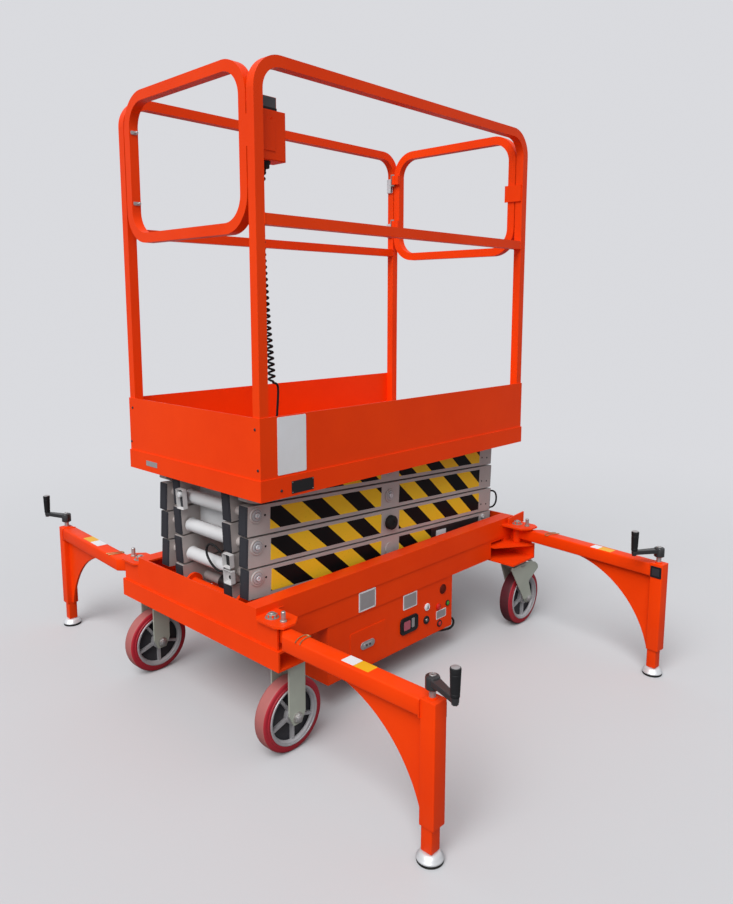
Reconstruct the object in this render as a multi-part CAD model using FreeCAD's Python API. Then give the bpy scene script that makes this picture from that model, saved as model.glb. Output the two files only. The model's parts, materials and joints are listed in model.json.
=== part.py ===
import FreeCAD, Part
import math
import os
from FreeCAD import Vector

# Frame: millimetres, Z up from the floor, X along the long side with the gate at +X.
# The pieces are drawn about the platform's centre and shifted so that the origin
# lies under the middle of the overall length.

# Scissor stack: pivots one level apart on two upright lines when folded
levels = 4
pivot_half = 582.0
fold_pitch = 95.0
base_pivot_z = 388.0
top_pivot_z = base_pivot_z + levels * fold_pitch
arm_gap = 6.0
arm_h = fold_pitch - arm_gap
arm_w = 40.0
outer_y = 230.0
inner_y = 150.0
arm_end = 32.0
top_end_r = 27.0
arm_offset = 16.2
pin_r = 15.0
head_r = 21.0
head_t = 3.0
tube_r = 20.5
open_fit = 0.5
roller_gap = 0.3
base_roller_r = 28.0
deck_roller_r = 20.0
roller_w = 38.0
roller_y = 256.0

# Wheels and casters
wheel_r = 110.0
wheel_w = 52.0
rim_r = 88.0
rim_t = 8.0
hub_r = 26.0
hub_ribs = 5
rib_t = 9.0
web_t = 16.0
tread_bevel = 5.0
axle_r = 8.0
nut_r = 13.0
nut_t = 8.0
run_fit = 0.06
wheel_y = 356.0
fork_gap = 9.0
fork_t = 6.0
rear_leg_w = 60.0
front_leg_w = 68.0
fork_tip_r = 18.0
caster_trail = 48.0
swivel_drop = 16.0
swivel_stem_r = 20.0
swivel_plate_x = 104.0
swivel_plate_y = 90.0
pedal_reach = 112.0
pedal_w = 44.0

# Chassis
chassis_x = pivot_half + 74.0
rear_wheel_x = 78.0 - chassis_x
front_wheel_x = chassis_x - 4.0
rail_y = 315.0
rail_w = 50.0
sheet = 6.0
rail_top = 436.0
rail_low = 290.0
cross_y = 415.0
cross_z0 = 281.0
cross_z1 = 340.0
rear_cross_w = 100.0
front_cross_w = 148.0
cross_out = 5.0
slant_y = 327.0
slant_end = 14.0
band_z = 365.0
band_t = 3.0

# Cabinet under the chassis
cab_x0 = -374.0
cab_x1 = 262.0
cab_y0 = -309.0
cab_y1 = 300.0
cab_z0 = 95.0
cab_wall = 3.0
battery_x0 = -314.0
battery_x1 = 62.0
battery_y = 180.0
battery_rise = 40.0

# Outriggers
pivot_x = chassis_x - 27.0
pivot_y = 352.0
pivot_bolt_r = 9.0
eye_r = 15.0
beam_reach = 586.0
beam_w = 54.0
beam_off = 20.5
gusset_start = 262.0
gusset_r = 310.0
gusset_back = 5.0
beam_z0 = 346.0
beam_top = 402.0
leg_w = 50.0
leg_wall = 6.0
leg_top = 404.0
leg_low = 92.0
jack_w = 37.4
jack_top = 250.0
foot_r = 36.0
foot_h = 27.0
pad_h = 8.0
gusset_t = 8.0
plate_gap = 6.0
plate_t = 6.0

# Crank on each jack
crank_shaft_r = 7.0
crank_arm = 96.0
crank_z = 442.0
crank_rest = 22.0
crank_hub = 24.0
grip_r = 12.0
grip_h = 78.0

# Hydraulic cylinder between the inner arms of the two lowest levels
cyl_low = 60.0
cyl_high = 2 * pivot_half - 104.0
rod_show = 150.0
bar_back = 90.0
bar_rise = 46.0
barrel_r = 34.0
rod_r = 18.0
eye_half = 20.0
anchor_r = 15.0
brace_back = 520.0
brace_half = 25.0
brace_rise = 11.0

# Platform
deck_x = pivot_half + 68.0
deck_y = 340.0
skirt_out = 3.0
skirt_x = deck_x + skirt_out
skirt_y = deck_y + skirt_out
skirt_gap = 6.0
low_end_r = skirt_x - sheet - skirt_gap - pivot_half
deck_top = top_pivot_z + 35.0
deck_low = deck_top - 60.0
floor_t = 3.0
toe_top = deck_top + 172.0
toe_t = 3.0
tube = 30.0
rail_height = deck_top + 1112.0
mid_low = rail_height - 430.0
guard_bend = 92.0
loop_y = 303.0
loop_top = rail_height - 3.0
loop_low = loop_top - 447.0
loop_bend = 100.0
hinge_back = 27.0
stop_t = 6.0
stop_z1 = loop_top - 190.0
stop_z0 = stop_z1 - 60.0

# Control box on the near corner post and its cord
box_x0 = 38.0 - deck_x
box_x1 = box_x0 + 98.0
box_y0 = 37.0 - deck_y
box_y1 = box_y0 + 53.0
box_z1 = rail_height - 130.0
box_z0 = box_z1 - 128.0
gland_r = 9.0
coil_r = 10.5
coil_x = box_x0 + 44.0
coil_y = box_y0 + 19.0
coil_top = box_z0 - 19.0
coil_low = coil_top - 552.0
cord_r = 3.2
# Thin tube from the coil to the deck: offset in X and Y from the coil's axis, height below its end
cord_points = (
    (4, 0, 0), (4, 0, 18), (14, 1, 38), (21, 1, 66), (18, 0, 101), (15, -1, 144),
    (18, -1, 190), (20, 0, 236), (20, 0, 282.9),
)

rail_z0 = base_pivot_z - base_roller_r - roller_gap - sheet
crank_out = crank_arm * math.sin(math.radians(crank_rest)) + grip_r
shift_x = (pivot_x + beam_off + crank_out - front_wheel_x - wheel_r) / 2.0

os.makedirs("parts", exist_ok=True)


def box(x0, x1, y0, y1, z0, z1):
    return Part.makeBox(x1 - x0, y1 - y0, z1 - z0, Vector(x0, y0, z0))


def rod(r, start, end):
    run = end - start
    return Part.makeCylinder(r, run.Length, start, run)


def cross_rod(r, x, z, y0, y1):
    return rod(r, Vector(x, y0, z), Vector(x, y1, z))


def upright(r, x, y, z0, z1):
    return rod(r, Vector(x, y, z0), Vector(x, y, z1))


def prism(points, direction):
    return Part.Face(Part.makePolygon(points + points[:1])).extrude(direction)


def hexagon(r, centre, across, depth):
    """Six-sided nut from centre along depth, one corner along across."""
    turn = depth.cross(across)
    turn.normalize()
    corners = [centre + across * (r * math.cos(a)) + turn * (r * math.sin(a))
               for a in (n * math.pi / 3 for n in range(6))]
    return prism(corners, depth)


def fuse(shapes):
    return shapes[0].multiFuse(shapes[1:]).removeSplitter() if len(shapes) > 1 else shapes[0]


def mirror_y(shape):
    return shape.mirror(Vector(0, 0, 0), Vector(0, 1, 0))


def both_sides(shape):
    return [shape, mirror_y(shape)]


def save(name, shapes):
    shape = Part.makeCompound(shapes) if isinstance(shapes, list) else shapes
    shape = shape.copy()
    shape.translate(Vector(shift_x, 0, 0))
    shape.exportStep("parts/" + name + ".step")


def rounded(u0, u1, v0, v1, radii, place):
    """Face between u0..u1 and v0..v1; radii in order low-left, low-right, top-right, top-left."""
    corners = [(u0, v0, 1, 1), (u1, v0, -1, 1), (u1, v1, -1, -1), (u0, v1, 1, -1)]
    edges = []
    spans = []
    for n, (u, v, du, dv) in enumerate(corners):
        r = radii[n]
        first = (u, v + dv * r) if n % 2 == 0 else (u + du * r, v)
        last = (u + du * r, v) if n % 2 == 0 else (u, v + dv * r)
        half = r * (1 - math.sqrt(0.5))
        mid = (u + du * half, v + dv * half)
        spans.append((first, last))
        if r > 0:
            edges.append(Part.Arc(place(*first), place(*mid), place(*last)).toShape())
    for n in range(4):
        a = spans[n][1]
        b = spans[(n + 1) % 4][0]
        edges.append(Part.makeLine(place(*a), place(*b)))
    return Part.Face(Part.Wire(Part.__sortEdges__(edges)))


def frame_ring(u0, u1, v0, v1, r_low, r_top, place, depth):
    """Bent square tube closed into a ring, seen along depth."""
    outer = rounded(u0, u1, v0, v1, (r_low, r_low, r_top, r_top), place)
    t = tube
    inner_low = max(r_low - t, 0)
    inner = rounded(u0 + t, u1 - t, v0 + (t if r_low else 0), v1 - t,
                    (inner_low, inner_low, r_top - t, r_top - t), place)
    return outer.extrude(depth).cut(inner.extrude(depth))


# Chassis

def channel(x0, x1, z0, z1, web_out, width, toward, lip=sheet):
    """Channel along X with its web at y = web_out and its flanges reaching toward the middle."""
    y_in = web_out + toward * width
    ya, yb = sorted((web_out, y_in))
    hollow_a, hollow_b = sorted((web_out + toward * sheet, y_in + toward * 1.0))
    body = box(x0, x1, ya, yb, z0, z1)
    return body.cut(box(x0 - 1, x1 + 1, hollow_a, hollow_b, z0 + lip, z1 - lip))


def cross_channel(side, width):
    """Channel along Y under the end of the chassis, open toward the middle of the machine."""
    outer = side * (chassis_x + cross_out)
    inner = side * (chassis_x - width)
    xa, xb = sorted((outer, inner))
    ha, hb = sorted((outer - side * sheet, inner - side))
    body = box(xa, xb, -cross_y, cross_y, cross_z0, cross_z1)
    return body.cut(box(ha, hb, -cross_y - 1, cross_y + 1, cross_z0 + sheet, cross_z1 - sheet))


def long_rail(side):
    web = side * (rail_y - band_t)
    top = channel(-chassis_x + sheet, chassis_x - sheet, rail_z0, rail_top, web, rail_w, -side)
    band = box(-chassis_x + sheet, chassis_x - sheet, *sorted((web, side * rail_y)), band_z, rail_top)
    front_end = chassis_x - front_cross_w
    rear_end = -chassis_x + rear_cross_w
    low = channel(rear_end, front_end, rail_low, rail_z0, web, rail_w, -side)
    posts = [box(*sorted((e, e - d * rail_w)), *sorted((web, web - side * rail_w)), cross_z1, rail_z0)
             for e, d in ((chassis_x - sheet, 1), (-chassis_x + sheet, -1))]
    return fuse([top, band, low] + posts)


def end_plate(side):
    """Upright sheet across the end, with a shallow return flange along its top edge."""
    face = side * chassis_x
    xa, xb = sorted((face, face - side * sheet))
    wide = box(xa, xb, -cross_y + 10, cross_y - 10, cross_z1, beam_top + plate_gap)
    high = box(xa, xb, -rail_y, rail_y, cross_z1, rail_top)
    return fuse([wide, high])


def bracket_plate(sx, sy):
    """Plate over one outrigger's eye, with the pivot bolt and the locking pin."""
    z0 = beam_top + plate_gap
    pts = [(chassis_x + 12, rail_y + 15), (chassis_x + 12, cross_y - 8), (chassis_x - 4, cross_y + 14),
           (pivot_x - 20, cross_y + 14), (pivot_x - 52, cross_y - 14), (pivot_x - 52, rail_y),
           (chassis_x, rail_y)]
    plate = prism([Vector(sx * x, sy * y, z0) for x, y in pts], Vector(0, 0, plate_t))
    bolt = upright(pivot_bolt_r, sx * pivot_x, sy * pivot_y, cross_z1, z0 + plate_t + 4)
    nut = hexagon(15.0, Vector(sx * pivot_x, sy * pivot_y, z0 + plate_t), Vector(1, 0, 0), Vector(0, 0, 10))
    pin_x = sx * (pivot_x - 2)
    pin_y = sy * (pivot_y + 46)
    pin = upright(5.0, pin_x, pin_y, z0, z0 + plate_t + 26)
    return fuse([plate, bolt, nut, pin])


def front_channel():
    """Wide channel at the gate end, its top flange cut off aslant beyond the rails."""
    whole = cross_channel(1, front_cross_w)
    inner = chassis_x - front_cross_w
    for side in (-1, 1):
        slant = [(inner - 1, side * slant_y), (inner - 1, side * (cross_y + 1)),
                 (chassis_x - slant_end, side * (cross_y + 1))]
        whole = whole.cut(prism([Vector(x, y, cross_z1 - sheet - 1) for x, y in slant],
                                Vector(0, 0, sheet + 2)))
    return whole


frame = fuse([long_rail(1), long_rail(-1), front_channel(),
              cross_channel(-1, rear_cross_w), end_plate(1), end_plate(-1)])
save("chassis_frame", frame)
save("outrigger_brackets", [bracket_plate(sx, sy) for sx in (-1, 1) for sy in (-1, 1)])


def base_lugs(side):
    x = -pivot_half
    plates = []
    for y0 in (inner_y + 6, inner_y - arm_w - 16):
        body = box(x - 30, x + 30, y0, y0 + 10, cross_z1, base_pivot_z)
        body = body.fuse(rod(30, Vector(x, y0, base_pivot_z), Vector(x, y0 + 10, base_pivot_z)))
        plates.append(body)
    if side < 0:
        plates = [mirror_y(p) for p in plates]
    return plates


base_shaft = cross_rod(pin_r, -pivot_half, base_pivot_z, -inner_y - 16, inner_y + 16)
save("base_pivot", fuse(base_lugs(1) + base_lugs(-1) + [base_shaft]))

cab = box(cab_x0, cab_x1, cab_y0, cab_y1, cab_z0, rail_low)
cab = cab.cut(box(cab_x0 + cab_wall, cab_x1 - cab_wall, cab_y0 + cab_wall, cab_y1 - cab_wall,
                  cab_z0 + cab_wall, rail_low - cab_wall))
save("power_cabinet", cab)
save("battery_block", box(battery_x0, battery_x1, -battery_y, battery_y,
                          cab_z0 + cab_wall, rail_low - battery_rise))


# Casters

def wheel_nodes(name, x, y):
    """Tread band and cast centre: rim, thin web, ribs and a through-bored boss."""
    half = wheel_w / 2
    tread = cross_rod(wheel_r, x, wheel_r, y - half, y + half)
    tread = tread.makeChamfer(tread_bevel, [e for e in tread.Edges if isinstance(e.Curve, Part.Circle)])
    save(name + "_tread", tread.cut(cross_rod(rim_r, x, wheel_r, y - half, y + half)))
    hub = cross_rod(rim_r, x, wheel_r, y - half, y + half)
    depth = half - web_t / 2
    for side in (-1, 1):
        face = y + side * half
        span_y = sorted((face, face - side * depth))
        pocket = cross_rod(rim_r - rim_t, x, wheel_r, *span_y).cut(cross_rod(hub_r, x, wheel_r, *span_y))
        for n in range(hub_ribs):
            rib = box(x, x + rim_r, *sorted((face - side * 6, face - side * depth)),
                      wheel_r - rib_t / 2, wheel_r + rib_t / 2)
            rib.rotate(Vector(x, 0, wheel_r), Vector(0, 1, 0), 360.0 * n / hub_ribs + 90)
            pocket = pocket.cut(rib)
        hub = hub.cut(pocket)
    save(name + "_hub", hub.cut(cross_rod(axle_r + run_fit, x, wheel_r, y - half - 1, y + half + 1)))


def fork(x, y, top, leg_points):
    """Two flat legs under a crown plate, with the axle bolt and its nuts."""
    half = wheel_w / 2
    legs = []
    for s in (-1, 1):
        ya, yb = sorted((y + s * (half + fork_gap), y + s * (half + fork_gap + fork_t)))
        leg = prism([Vector(px, ya, pz) for px, pz in leg_points], Vector(0, yb - ya, 0))
        legs.append(leg.fuse(cross_rod(fork_tip_r, x, wheel_r, ya, yb)))
    reach = half + fork_gap + fork_t
    crown = box(leg_points[0][0], leg_points[1][0], y - reach, y + reach, top - fork_t, top)
    bolt = cross_rod(axle_r, x, wheel_r, y - reach - nut_t - 3, y + reach + nut_t + 3)
    nuts = [hexagon(nut_r, Vector(x, y + s * reach, wheel_r), Vector(0, 0, 1), Vector(0, s * nut_t, 0))
            for s in (-1, 1)]
    return fuse(legs + [crown, bolt] + nuts)


def rear_fork(y):
    """Fixed fork with straight legs that narrow below the axle."""
    half = rear_leg_w / 2
    x = rear_wheel_x
    low = wheel_r - fork_tip_r - 2
    points = [(x - half, cross_z0), (x + half, cross_z0), (x + half, wheel_r + 12),
              (x + half / 2, low), (x - half / 2, low), (x - half, wheel_r + 12)]
    flange = box(x - half - 14, x + half + 14, y - wheel_w / 2 - 20, y + wheel_w / 2 + 20,
                 cross_z0 - fork_t, cross_z0)
    return fork(x, y, cross_z0, points).fuse(flange).removeSplitter()


def front_fork(y):
    """Trailing fork under a swivel race, with the foot pedal of its brake."""
    top = cross_z0 - swivel_drop
    half = front_leg_w / 2
    x = front_wheel_x
    points = [(swivel_x - half, top), (swivel_x + half, top), (x + fork_tip_r, wheel_r),
              (x - fork_tip_r, wheel_r)]
    stem = upright(swivel_stem_r, swivel_x, y, top - 2, cross_z0 - fork_t + 2)
    race = upright(front_leg_w / 2, swivel_x, y, top - 1, top + 4)
    tip = swivel_x + pedal_reach
    pedal = prism([Vector(px, y - pedal_w / 2, pz) for px, pz in (
        (swivel_x + 20, top - 6), (swivel_x + half, top - 1), (tip - 20, top - 5), (tip, top - 22),
        (tip - 4, top - 25), (tip - 23, top - 10), (swivel_x + half, top - 6))], Vector(0, pedal_w, 0))
    return fork(x, y, top, points).multiFuse([stem, race, pedal]).removeSplitter()


swivel_x = front_wheel_x - caster_trail
swivel_plates = []
for side, label in ((-1, "right"), (1, "left")):
    y = side * wheel_y
    wheel_nodes("rear_" + label + "_wheel", rear_wheel_x, y)
    wheel_nodes("front_" + label + "_wheel", front_wheel_x, y)
    save("front_" + label + "_fork", front_fork(y))
    plate = box(swivel_x - swivel_plate_x / 2, swivel_x + swivel_plate_x / 2,
                y - swivel_plate_y / 2, y + swivel_plate_y / 2, cross_z0 - fork_t, cross_z0)
    seat = upright(swivel_stem_r + run_fit, swivel_x, y, cross_z0 - fork_t - 1, cross_z0 - fork_t + 2.5)
    swivel_plates.append(plate.cut(seat))
save("rear_forks", [rear_fork(-wheel_y), rear_fork(wheel_y)])
save("swivel_plates", swivel_plates)


# Outriggers. Drawn at the rear right corner about the pivot: u outward along X, v outward along Y

def outrigger_beam():
    half = beam_w / 2
    outer = beam_off + half
    inner = beam_off - half
    end = beam_reach + leg_w / 2
    pts = [(inner, 0), (inner, end - 1), (outer, end - 1), (outer, 130), (eye_r, 62), (eye_r, 0)]
    body = prism([Vector(-u, -v, beam_z0) for u, v in pts], Vector(0, 0, beam_top - beam_z0))
    eye = upright(eye_r, 0, 0, cross_z1 + roller_gap, beam_top + plate_gap - roller_gap)
    leg = box(-beam_off - leg_w / 2, -beam_off + leg_w / 2, -end, -end + leg_w, leg_low, leg_top)
    cz = beam_z0 - gusset_r
    cy = -gusset_start
    face_x = gusset_back - beam_off - leg_w / 2
    corner = Vector(face_x, -(beam_reach - leg_w / 2), beam_z0)
    sweep = math.asin((cy - corner.y) / gusset_r)
    a, b, c = [Vector(face_x, cy - gusset_r * math.sin(s), cz + gusset_r * math.cos(s))
               for s in (0, sweep / 2, sweep)]
    wire = Part.Wire([Part.Arc(a, b, c).toShape(), Part.makeLine(c, corner), Part.makeLine(corner, a)])
    gusset = Part.Face(wire).extrude(Vector(gusset_t, 0, 0))
    whole = fuse([body, eye, leg, gusset])
    cavity = leg_w - 2 * leg_wall
    cx = -beam_off
    whole = whole.cut(box(cx - cavity / 2, cx + cavity / 2, -beam_reach - cavity / 2,
                          -beam_reach + cavity / 2, leg_low - 1, leg_top - sheet))
    whole = whole.cut(upright(pivot_bolt_r + run_fit, 0, 0, cross_z1, leg_top + 20))
    return whole.cut(upright(crank_shaft_r + run_fit, cx, -beam_reach, leg_top - 20, leg_top + 1))


def jack_tube():
    half = jack_w / 2
    body = box(-beam_off - half, -beam_off + half, -beam_reach - half, -beam_reach + half,
               foot_h, jack_top)
    return body


def foot():
    cup = Part.makeCone(foot_r, foot_r - 14, foot_h - pad_h, Vector(-beam_off, -beam_reach, pad_h))
    pad = upright(foot_r + 1, -beam_off, -beam_reach, 0, pad_h)
    return cup, pad


def crank(angle):
    """Shaft, hub, arm and upright grip; angle turns the arm from straight outward toward the end."""
    x, y = -beam_off, -beam_reach
    shaft = upright(crank_shaft_r, x, y, leg_top - 14, crank_z)
    half = crank_hub / 2
    hub = box(x - half, x + half, y - half, y + half, crank_z - 16, crank_z + 14)
    arm = box(x - 8, x + 8, y - crank_arm, y, crank_z, crank_z + 10)
    grip = Part.makeCone(grip_r - 3, grip_r, grip_h, Vector(x, y - crank_arm, crank_z))
    whole = fuse([shaft, hub, arm, grip])
    whole.rotate(Vector(x, y, 0), Vector(0, 0, 1), angle)
    return whole


# corner name, side along X, side along Y, rest angle inward, crank angle
corners = (
    ("rear_right", -1, -1, 0.0, -crank_rest),
    ("front_right", 1, -1, 5.5, 118.0),
    ("rear_left", -1, 1, 3.8, -25.8),
    ("front_left", 1, 1, 0.0, 118.0),
)


def at_corner(shape, sx, sy, inward):
    shape = shape.copy()
    shape.rotate(Vector(0, 0, 0), Vector(0, 0, 1), inward)
    if sx > 0:
        shape = shape.mirror(Vector(0, 0, 0), Vector(1, 0, 0))
    if sy > 0:
        shape = shape.mirror(Vector(0, 0, 0), Vector(0, 1, 0))
    shape.translate(Vector(sx * pivot_x, sy * pivot_y, 0))
    return shape


for corner, sx, sy, inward, crank_angle in corners:
    cup, pad = foot()
    save(corner + "_outrigger", at_corner(outrigger_beam(), sx, sy, inward))
    save(corner + "_jack_tube", at_corner(jack_tube(), sx, sy, inward))
    save(corner + "_foot", at_corner(cup, sx, sy, inward))
    save(corner + "_foot_pad", at_corner(pad, sx, sy, inward))
    save(corner + "_crank", at_corner(crank(crank_angle), sx, sy, inward))
    leg = at_corner(Part.Vertex(-beam_off, -beam_reach, 0), sx, sy, inward).Point
    print(corner, "leg axis", round(leg.x + shift_x, 3), round(leg.y, 3))


# Scissor stack

span = 2 * pivot_half
tilt = math.degrees(math.atan2(fold_pitch - 2 * arm_offset, span))


def arm_bar(level, falls, y_out, bores):
    """One bar in the folded pose. falls is 1 where it drops toward +X, -1 where it rises."""
    z = base_pivot_z + (level + 0.5) * fold_pitch
    half = pivot_half + arm_end
    bar = box(-half, half, y_out - arm_w, y_out, z - arm_h / 2, z + arm_h / 2)
    bar.rotate(Vector(0, 0, z), Vector(0, 1, 0), falls * tilt)
    for x, dz, r in bores:
        bar = bar.cut(cross_rod(r, x, z + dz, y_out - arm_w - 1, y_out + 1))
    return bar


def on_arm(distance, level):
    """Point on the rising pivot line of an inner arm, measured from its low pivot."""
    slope = math.atan2(fold_pitch, span)
    return Vector(-pivot_half + distance * math.cos(slope), 0,
                  base_pivot_z + level * fold_pitch + distance * math.sin(slope))


def anchor_bar(distance, level, lift, r):
    point = on_arm(distance, level)
    return cross_rod(r, point.x, point.z + lift, -inner_y + 5, inner_y - 5)


def rod_anchor():
    """Crossbar above and short of the rod's eye, with two cheeks that take the eye between them."""
    eye = on_arm(cyl_high, 1)
    bar = on_arm(cyl_high - bar_back, 1) + Vector(0, 0, bar_rise)
    face = inner_y - arm_w
    pieces = [cross_rod(16, bar.x, bar.z, 9 - face, face - 9)]
    for s in (-1, 1):
        ya, yb = sorted((s * (eye_half + 1), s * (eye_half + 9)))
        cheek = prism([Vector(x, ya, z) for x, z in (
            (bar.x - 16, bar.z - 16), (eye.x - 22, eye.z - 22), (eye.x + 22, eye.z - 22),
            (eye.x + 22, eye.z + 22), (bar.x + 6, bar.z + 22), (bar.x - 16, bar.z + 16))],
            Vector(0, yb - ya, 0))
        tab = box(bar.x - 22, bar.x + 22, *sorted((s * (face - 13), s * (face - 5))), bar.z - 70, bar.z + 20)
        pad = box(bar.x - 22, bar.x + 22, *sorted((s * (face - 5), s * (face + 2))), bar.z - 85, bar.z - 30)
        pieces += [cheek, tab, pad]
    return pieces


def top_end(bar, side):
    """Round off the end at a deck pivot, so that it turns clear of the floor plate and the skirt."""
    x = side * pivot_half
    xa, xb = sorted((x, x + side * 2 * arm_end))
    over = box(xa, xb, 0, outer_y + 1, top_pivot_z, top_pivot_z + arm_h)
    over = over.cut(cross_rod(top_end_r, x, top_pivot_z, -1, outer_y + 2))
    flat = box(x - arm_h, x + arm_h, 0, outer_y + 1, top_pivot_z + top_end_r, top_pivot_z + arm_h)
    under = box(xa, xb, 0, outer_y + 1, top_pivot_z - arm_h, top_pivot_z)
    under = under.cut(cross_rod(low_end_r, x, top_pivot_z, -1, outer_y + 2))
    return bar.cut(over).cut(flat).cut(under)


half_pitch = fold_pitch / 2
gap_y = inner_y - arm_w - 6
for level in range(levels):
    z_low = base_pivot_z + level * fold_pitch
    z_mid = z_low + half_pitch
    z_high = z_low + fold_pitch
    first = level == 0
    last = level == levels - 1
    outer = arm_bar(level, 1, outer_y, [(-pivot_half, half_pitch, pin_r + run_fit)] if last else [])
    bores = [(-pivot_half, -half_pitch, pin_r + run_fit), (0, 0, pin_r + run_fit)]
    if not last:
        bores.append((pivot_half, half_pitch, pin_r + open_fit))
    inner = arm_bar(level, -1, inner_y, bores)
    if last:
        outer = top_end(outer, -1)
        inner = top_end(inner, 1)
    parts = both_sides(outer)
    centre_pin = cross_rod(pin_r, 0, z_mid, gap_y, outer_y - arm_w / 2)
    parts += both_sides(centre_pin)
    if not last:
        parts.append(cross_rod(pin_r, -pivot_half, z_high, -outer_y + 5, outer_y - 5))
        parts += both_sides(cross_rod(head_r, -pivot_half, z_high, outer_y - 1, outer_y + head_t))
        parts.append(cross_rod(tube_r, -pivot_half, z_high, -gap_y, gap_y))
    parts.append(cross_rod(pin_r, pivot_half, z_low, -outer_y + 5, outer_y - 5))
    parts += both_sides(cross_rod(head_r, 0, z_mid, outer_y - 1, outer_y + head_t))
    if not first:
        parts.append(cross_rod(tube_r, pivot_half, z_low, -gap_y, gap_y))
    else:
        parts += both_sides(cross_rod(pin_r, pivot_half, z_low, outer_y - 5, roller_y + roller_w - 4))
        parts += both_sides(cross_rod(base_roller_r, pivot_half, z_low, roller_y, roller_y + roller_w))
    save("outer_arms_" + str(level + 1), fuse(parts))
    parts = both_sides(inner)
    if last:
        parts.append(cross_rod(pin_r, pivot_half, z_high, -roller_y - roller_w + 4, roller_y + roller_w - 4))
        parts += both_sides(cross_rod(deck_roller_r, pivot_half, z_high, roller_y, roller_y + roller_w))
    if level == 0:
        parts.append(anchor_bar(cyl_low, 0, 0, anchor_r))
    elif level == 1:
        parts += rod_anchor()
    else:
        brace_z = z_mid - brace_back * math.tan(math.radians(tilt)) + brace_rise
        parts.append(box(-brace_back - brace_half, -brace_back + brace_half, -inner_y + 5, inner_y - 5,
                         brace_z - brace_half, brace_z + brace_half))
    save("inner_arms_" + str(level + 1), fuse(parts))


# Platform

def rail_place(y):
    return lambda u, v: Vector(u, y, v)


def end_place(x):
    return lambda u, v: Vector(x, u, v)


deck = box(-skirt_x, skirt_x, -skirt_y, skirt_y, deck_low, deck_top)
deck = deck.cut(box(-skirt_x + sheet, skirt_x - sheet, -skirt_y + sheet, skirt_y - sheet,
                    deck_low - 1, deck_top - floor_t))
channels = []
for side in (1, -1):
    web = side * (roller_y + roller_w + 10)
    z0 = top_pivot_z - deck_roller_r - roller_gap - 4
    channels.append(channel(-skirt_x + sheet, skirt_x - sheet, z0, deck_top - floor_t, web, rail_w, -side, 4))
save("deck_frame", fuse([deck] + channels))

lug_z = deck_top - floor_t
deck_lugs = []
for y0 in (outer_y + 5, outer_y - arm_w - 15):
    body = box(-pivot_half - 28, -pivot_half + 28, y0, y0 + 10, top_pivot_z, lug_z)
    body = body.fuse(rod(28, Vector(-pivot_half, y0, top_pivot_z), Vector(-pivot_half, y0 + 10, top_pivot_z)))
    body = body.common(box(-deck_x, deck_x, 0, deck_y, deck_low, lug_z))
    deck_lugs.append(body)
deck_lugs.append(cross_rod(pin_r, -pivot_half, top_pivot_z, outer_y - arm_w - 15, outer_y + 15))
lug = fuse(deck_lugs)
save("deck_pivot", both_sides(lug))

post = deck_x - toe_t
toe = fuse([box(-deck_x, deck_x, -deck_y, -deck_y + toe_t, deck_top, toe_top),
            box(-deck_x, deck_x, deck_y - toe_t, deck_y, deck_top, toe_top),
            box(-deck_x, -deck_x + toe_t, -deck_y, deck_y, deck_top, toe_top)])
save("toe_boards", toe)

for side, label in ((-1, "right"), (1, "left")):
    y_face = side * (deck_y - toe_t)
    ring = frame_ring(-post, post, deck_top, rail_height, 0, guard_bend, rail_place(y_face),
                      Vector(0, -side * tube, 0))
    mid = box(-post + tube, post - tube, *sorted((y_face, y_face - side * tube)), mid_low, mid_low + tube)
    save("guard_rail_" + label, fuse([ring, mid]))

loop_depth = Vector(tube, 0, 0)
rear_loop = frame_ring(-loop_y, loop_y, loop_low, loop_top, loop_bend, loop_bend, end_place(-post), loop_depth)
clips = [box(-post + 3, -post + tube - 3, *sorted((s * loop_y, s * (deck_y - toe_t - tube))), z - 12, z + 12)
         for s in (-1, 1) for z in (loop_low + 123, loop_top - 110)]
save("rear_loop", fuse([rear_loop] + clips))

gate = frame_ring(-loop_y, loop_y, loop_low, loop_top, loop_bend, loop_bend, end_place(post - tube), loop_depth)
hinge_x = post - tube / 2 - hinge_back
hinge_y = loop_y - 8
hinge_zs = (loop_low + 150, loop_top - 110)
knuckles = []
pins = []
for z in hinge_zs:
    leaf = box(hinge_x - 2, post - tube, hinge_y - 26, hinge_y - 4, z - 18, z + 18)
    ring = upright(8, hinge_x, hinge_y, z - 18, z + 18)
    knuckles.append(leaf.fuse(ring))
    pins.append(upright(3.5, hinge_x, hinge_y, z - 24, z + 24))
    for dz in (-24, 18.4):
        arm = box(hinge_x - 5, hinge_x + 5, hinge_y, deck_y - toe_t - tube, z + dz, z + dz + 5.6)
        pins.append(arm)
    pins.append(box(hinge_x - 5, hinge_x + 5, deck_y - toe_t - tube - 3, deck_y - toe_t - tube,
                    z - 24, z + 24))
stop = box(post - tube - stop_t, post - tube, toe_t + 4 - deck_y, 40 - loop_y, stop_z0, stop_z1)
whole_gate = fuse([gate, stop] + knuckles)
for z in hinge_zs:
    whole_gate = whole_gate.cut(upright(3.5 + run_fit, hinge_x, hinge_y, z - 30, z + 30))
save("gate", whole_gate)
save("gate_hinges", [fuse(pins[:4]), fuse(pins[4:])])

print("hinge", round(hinge_x + shift_x, 3), round(hinge_y, 3))

case = box(box_x0, box_x1, box_y0, box_y1, box_z0, box_z1)
back = box(-post, box_x0 + 60, -(deck_y - toe_t - tube), box_y0, box_z0 + 24, box_z1 - 24)
cap = box(box_x0 + 20, box_x0 + 74, box_y0 + 8, box_y0 + 48, box_z1, box_z1 + 36)
gland = upright(gland_r, coil_x, coil_y, coil_top, box_z0)
save("control_box", fuse([case, back, cap, gland]))


# Curly cord: one fat tube along its coiled stretch, then a thin tube down to the deck

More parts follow.
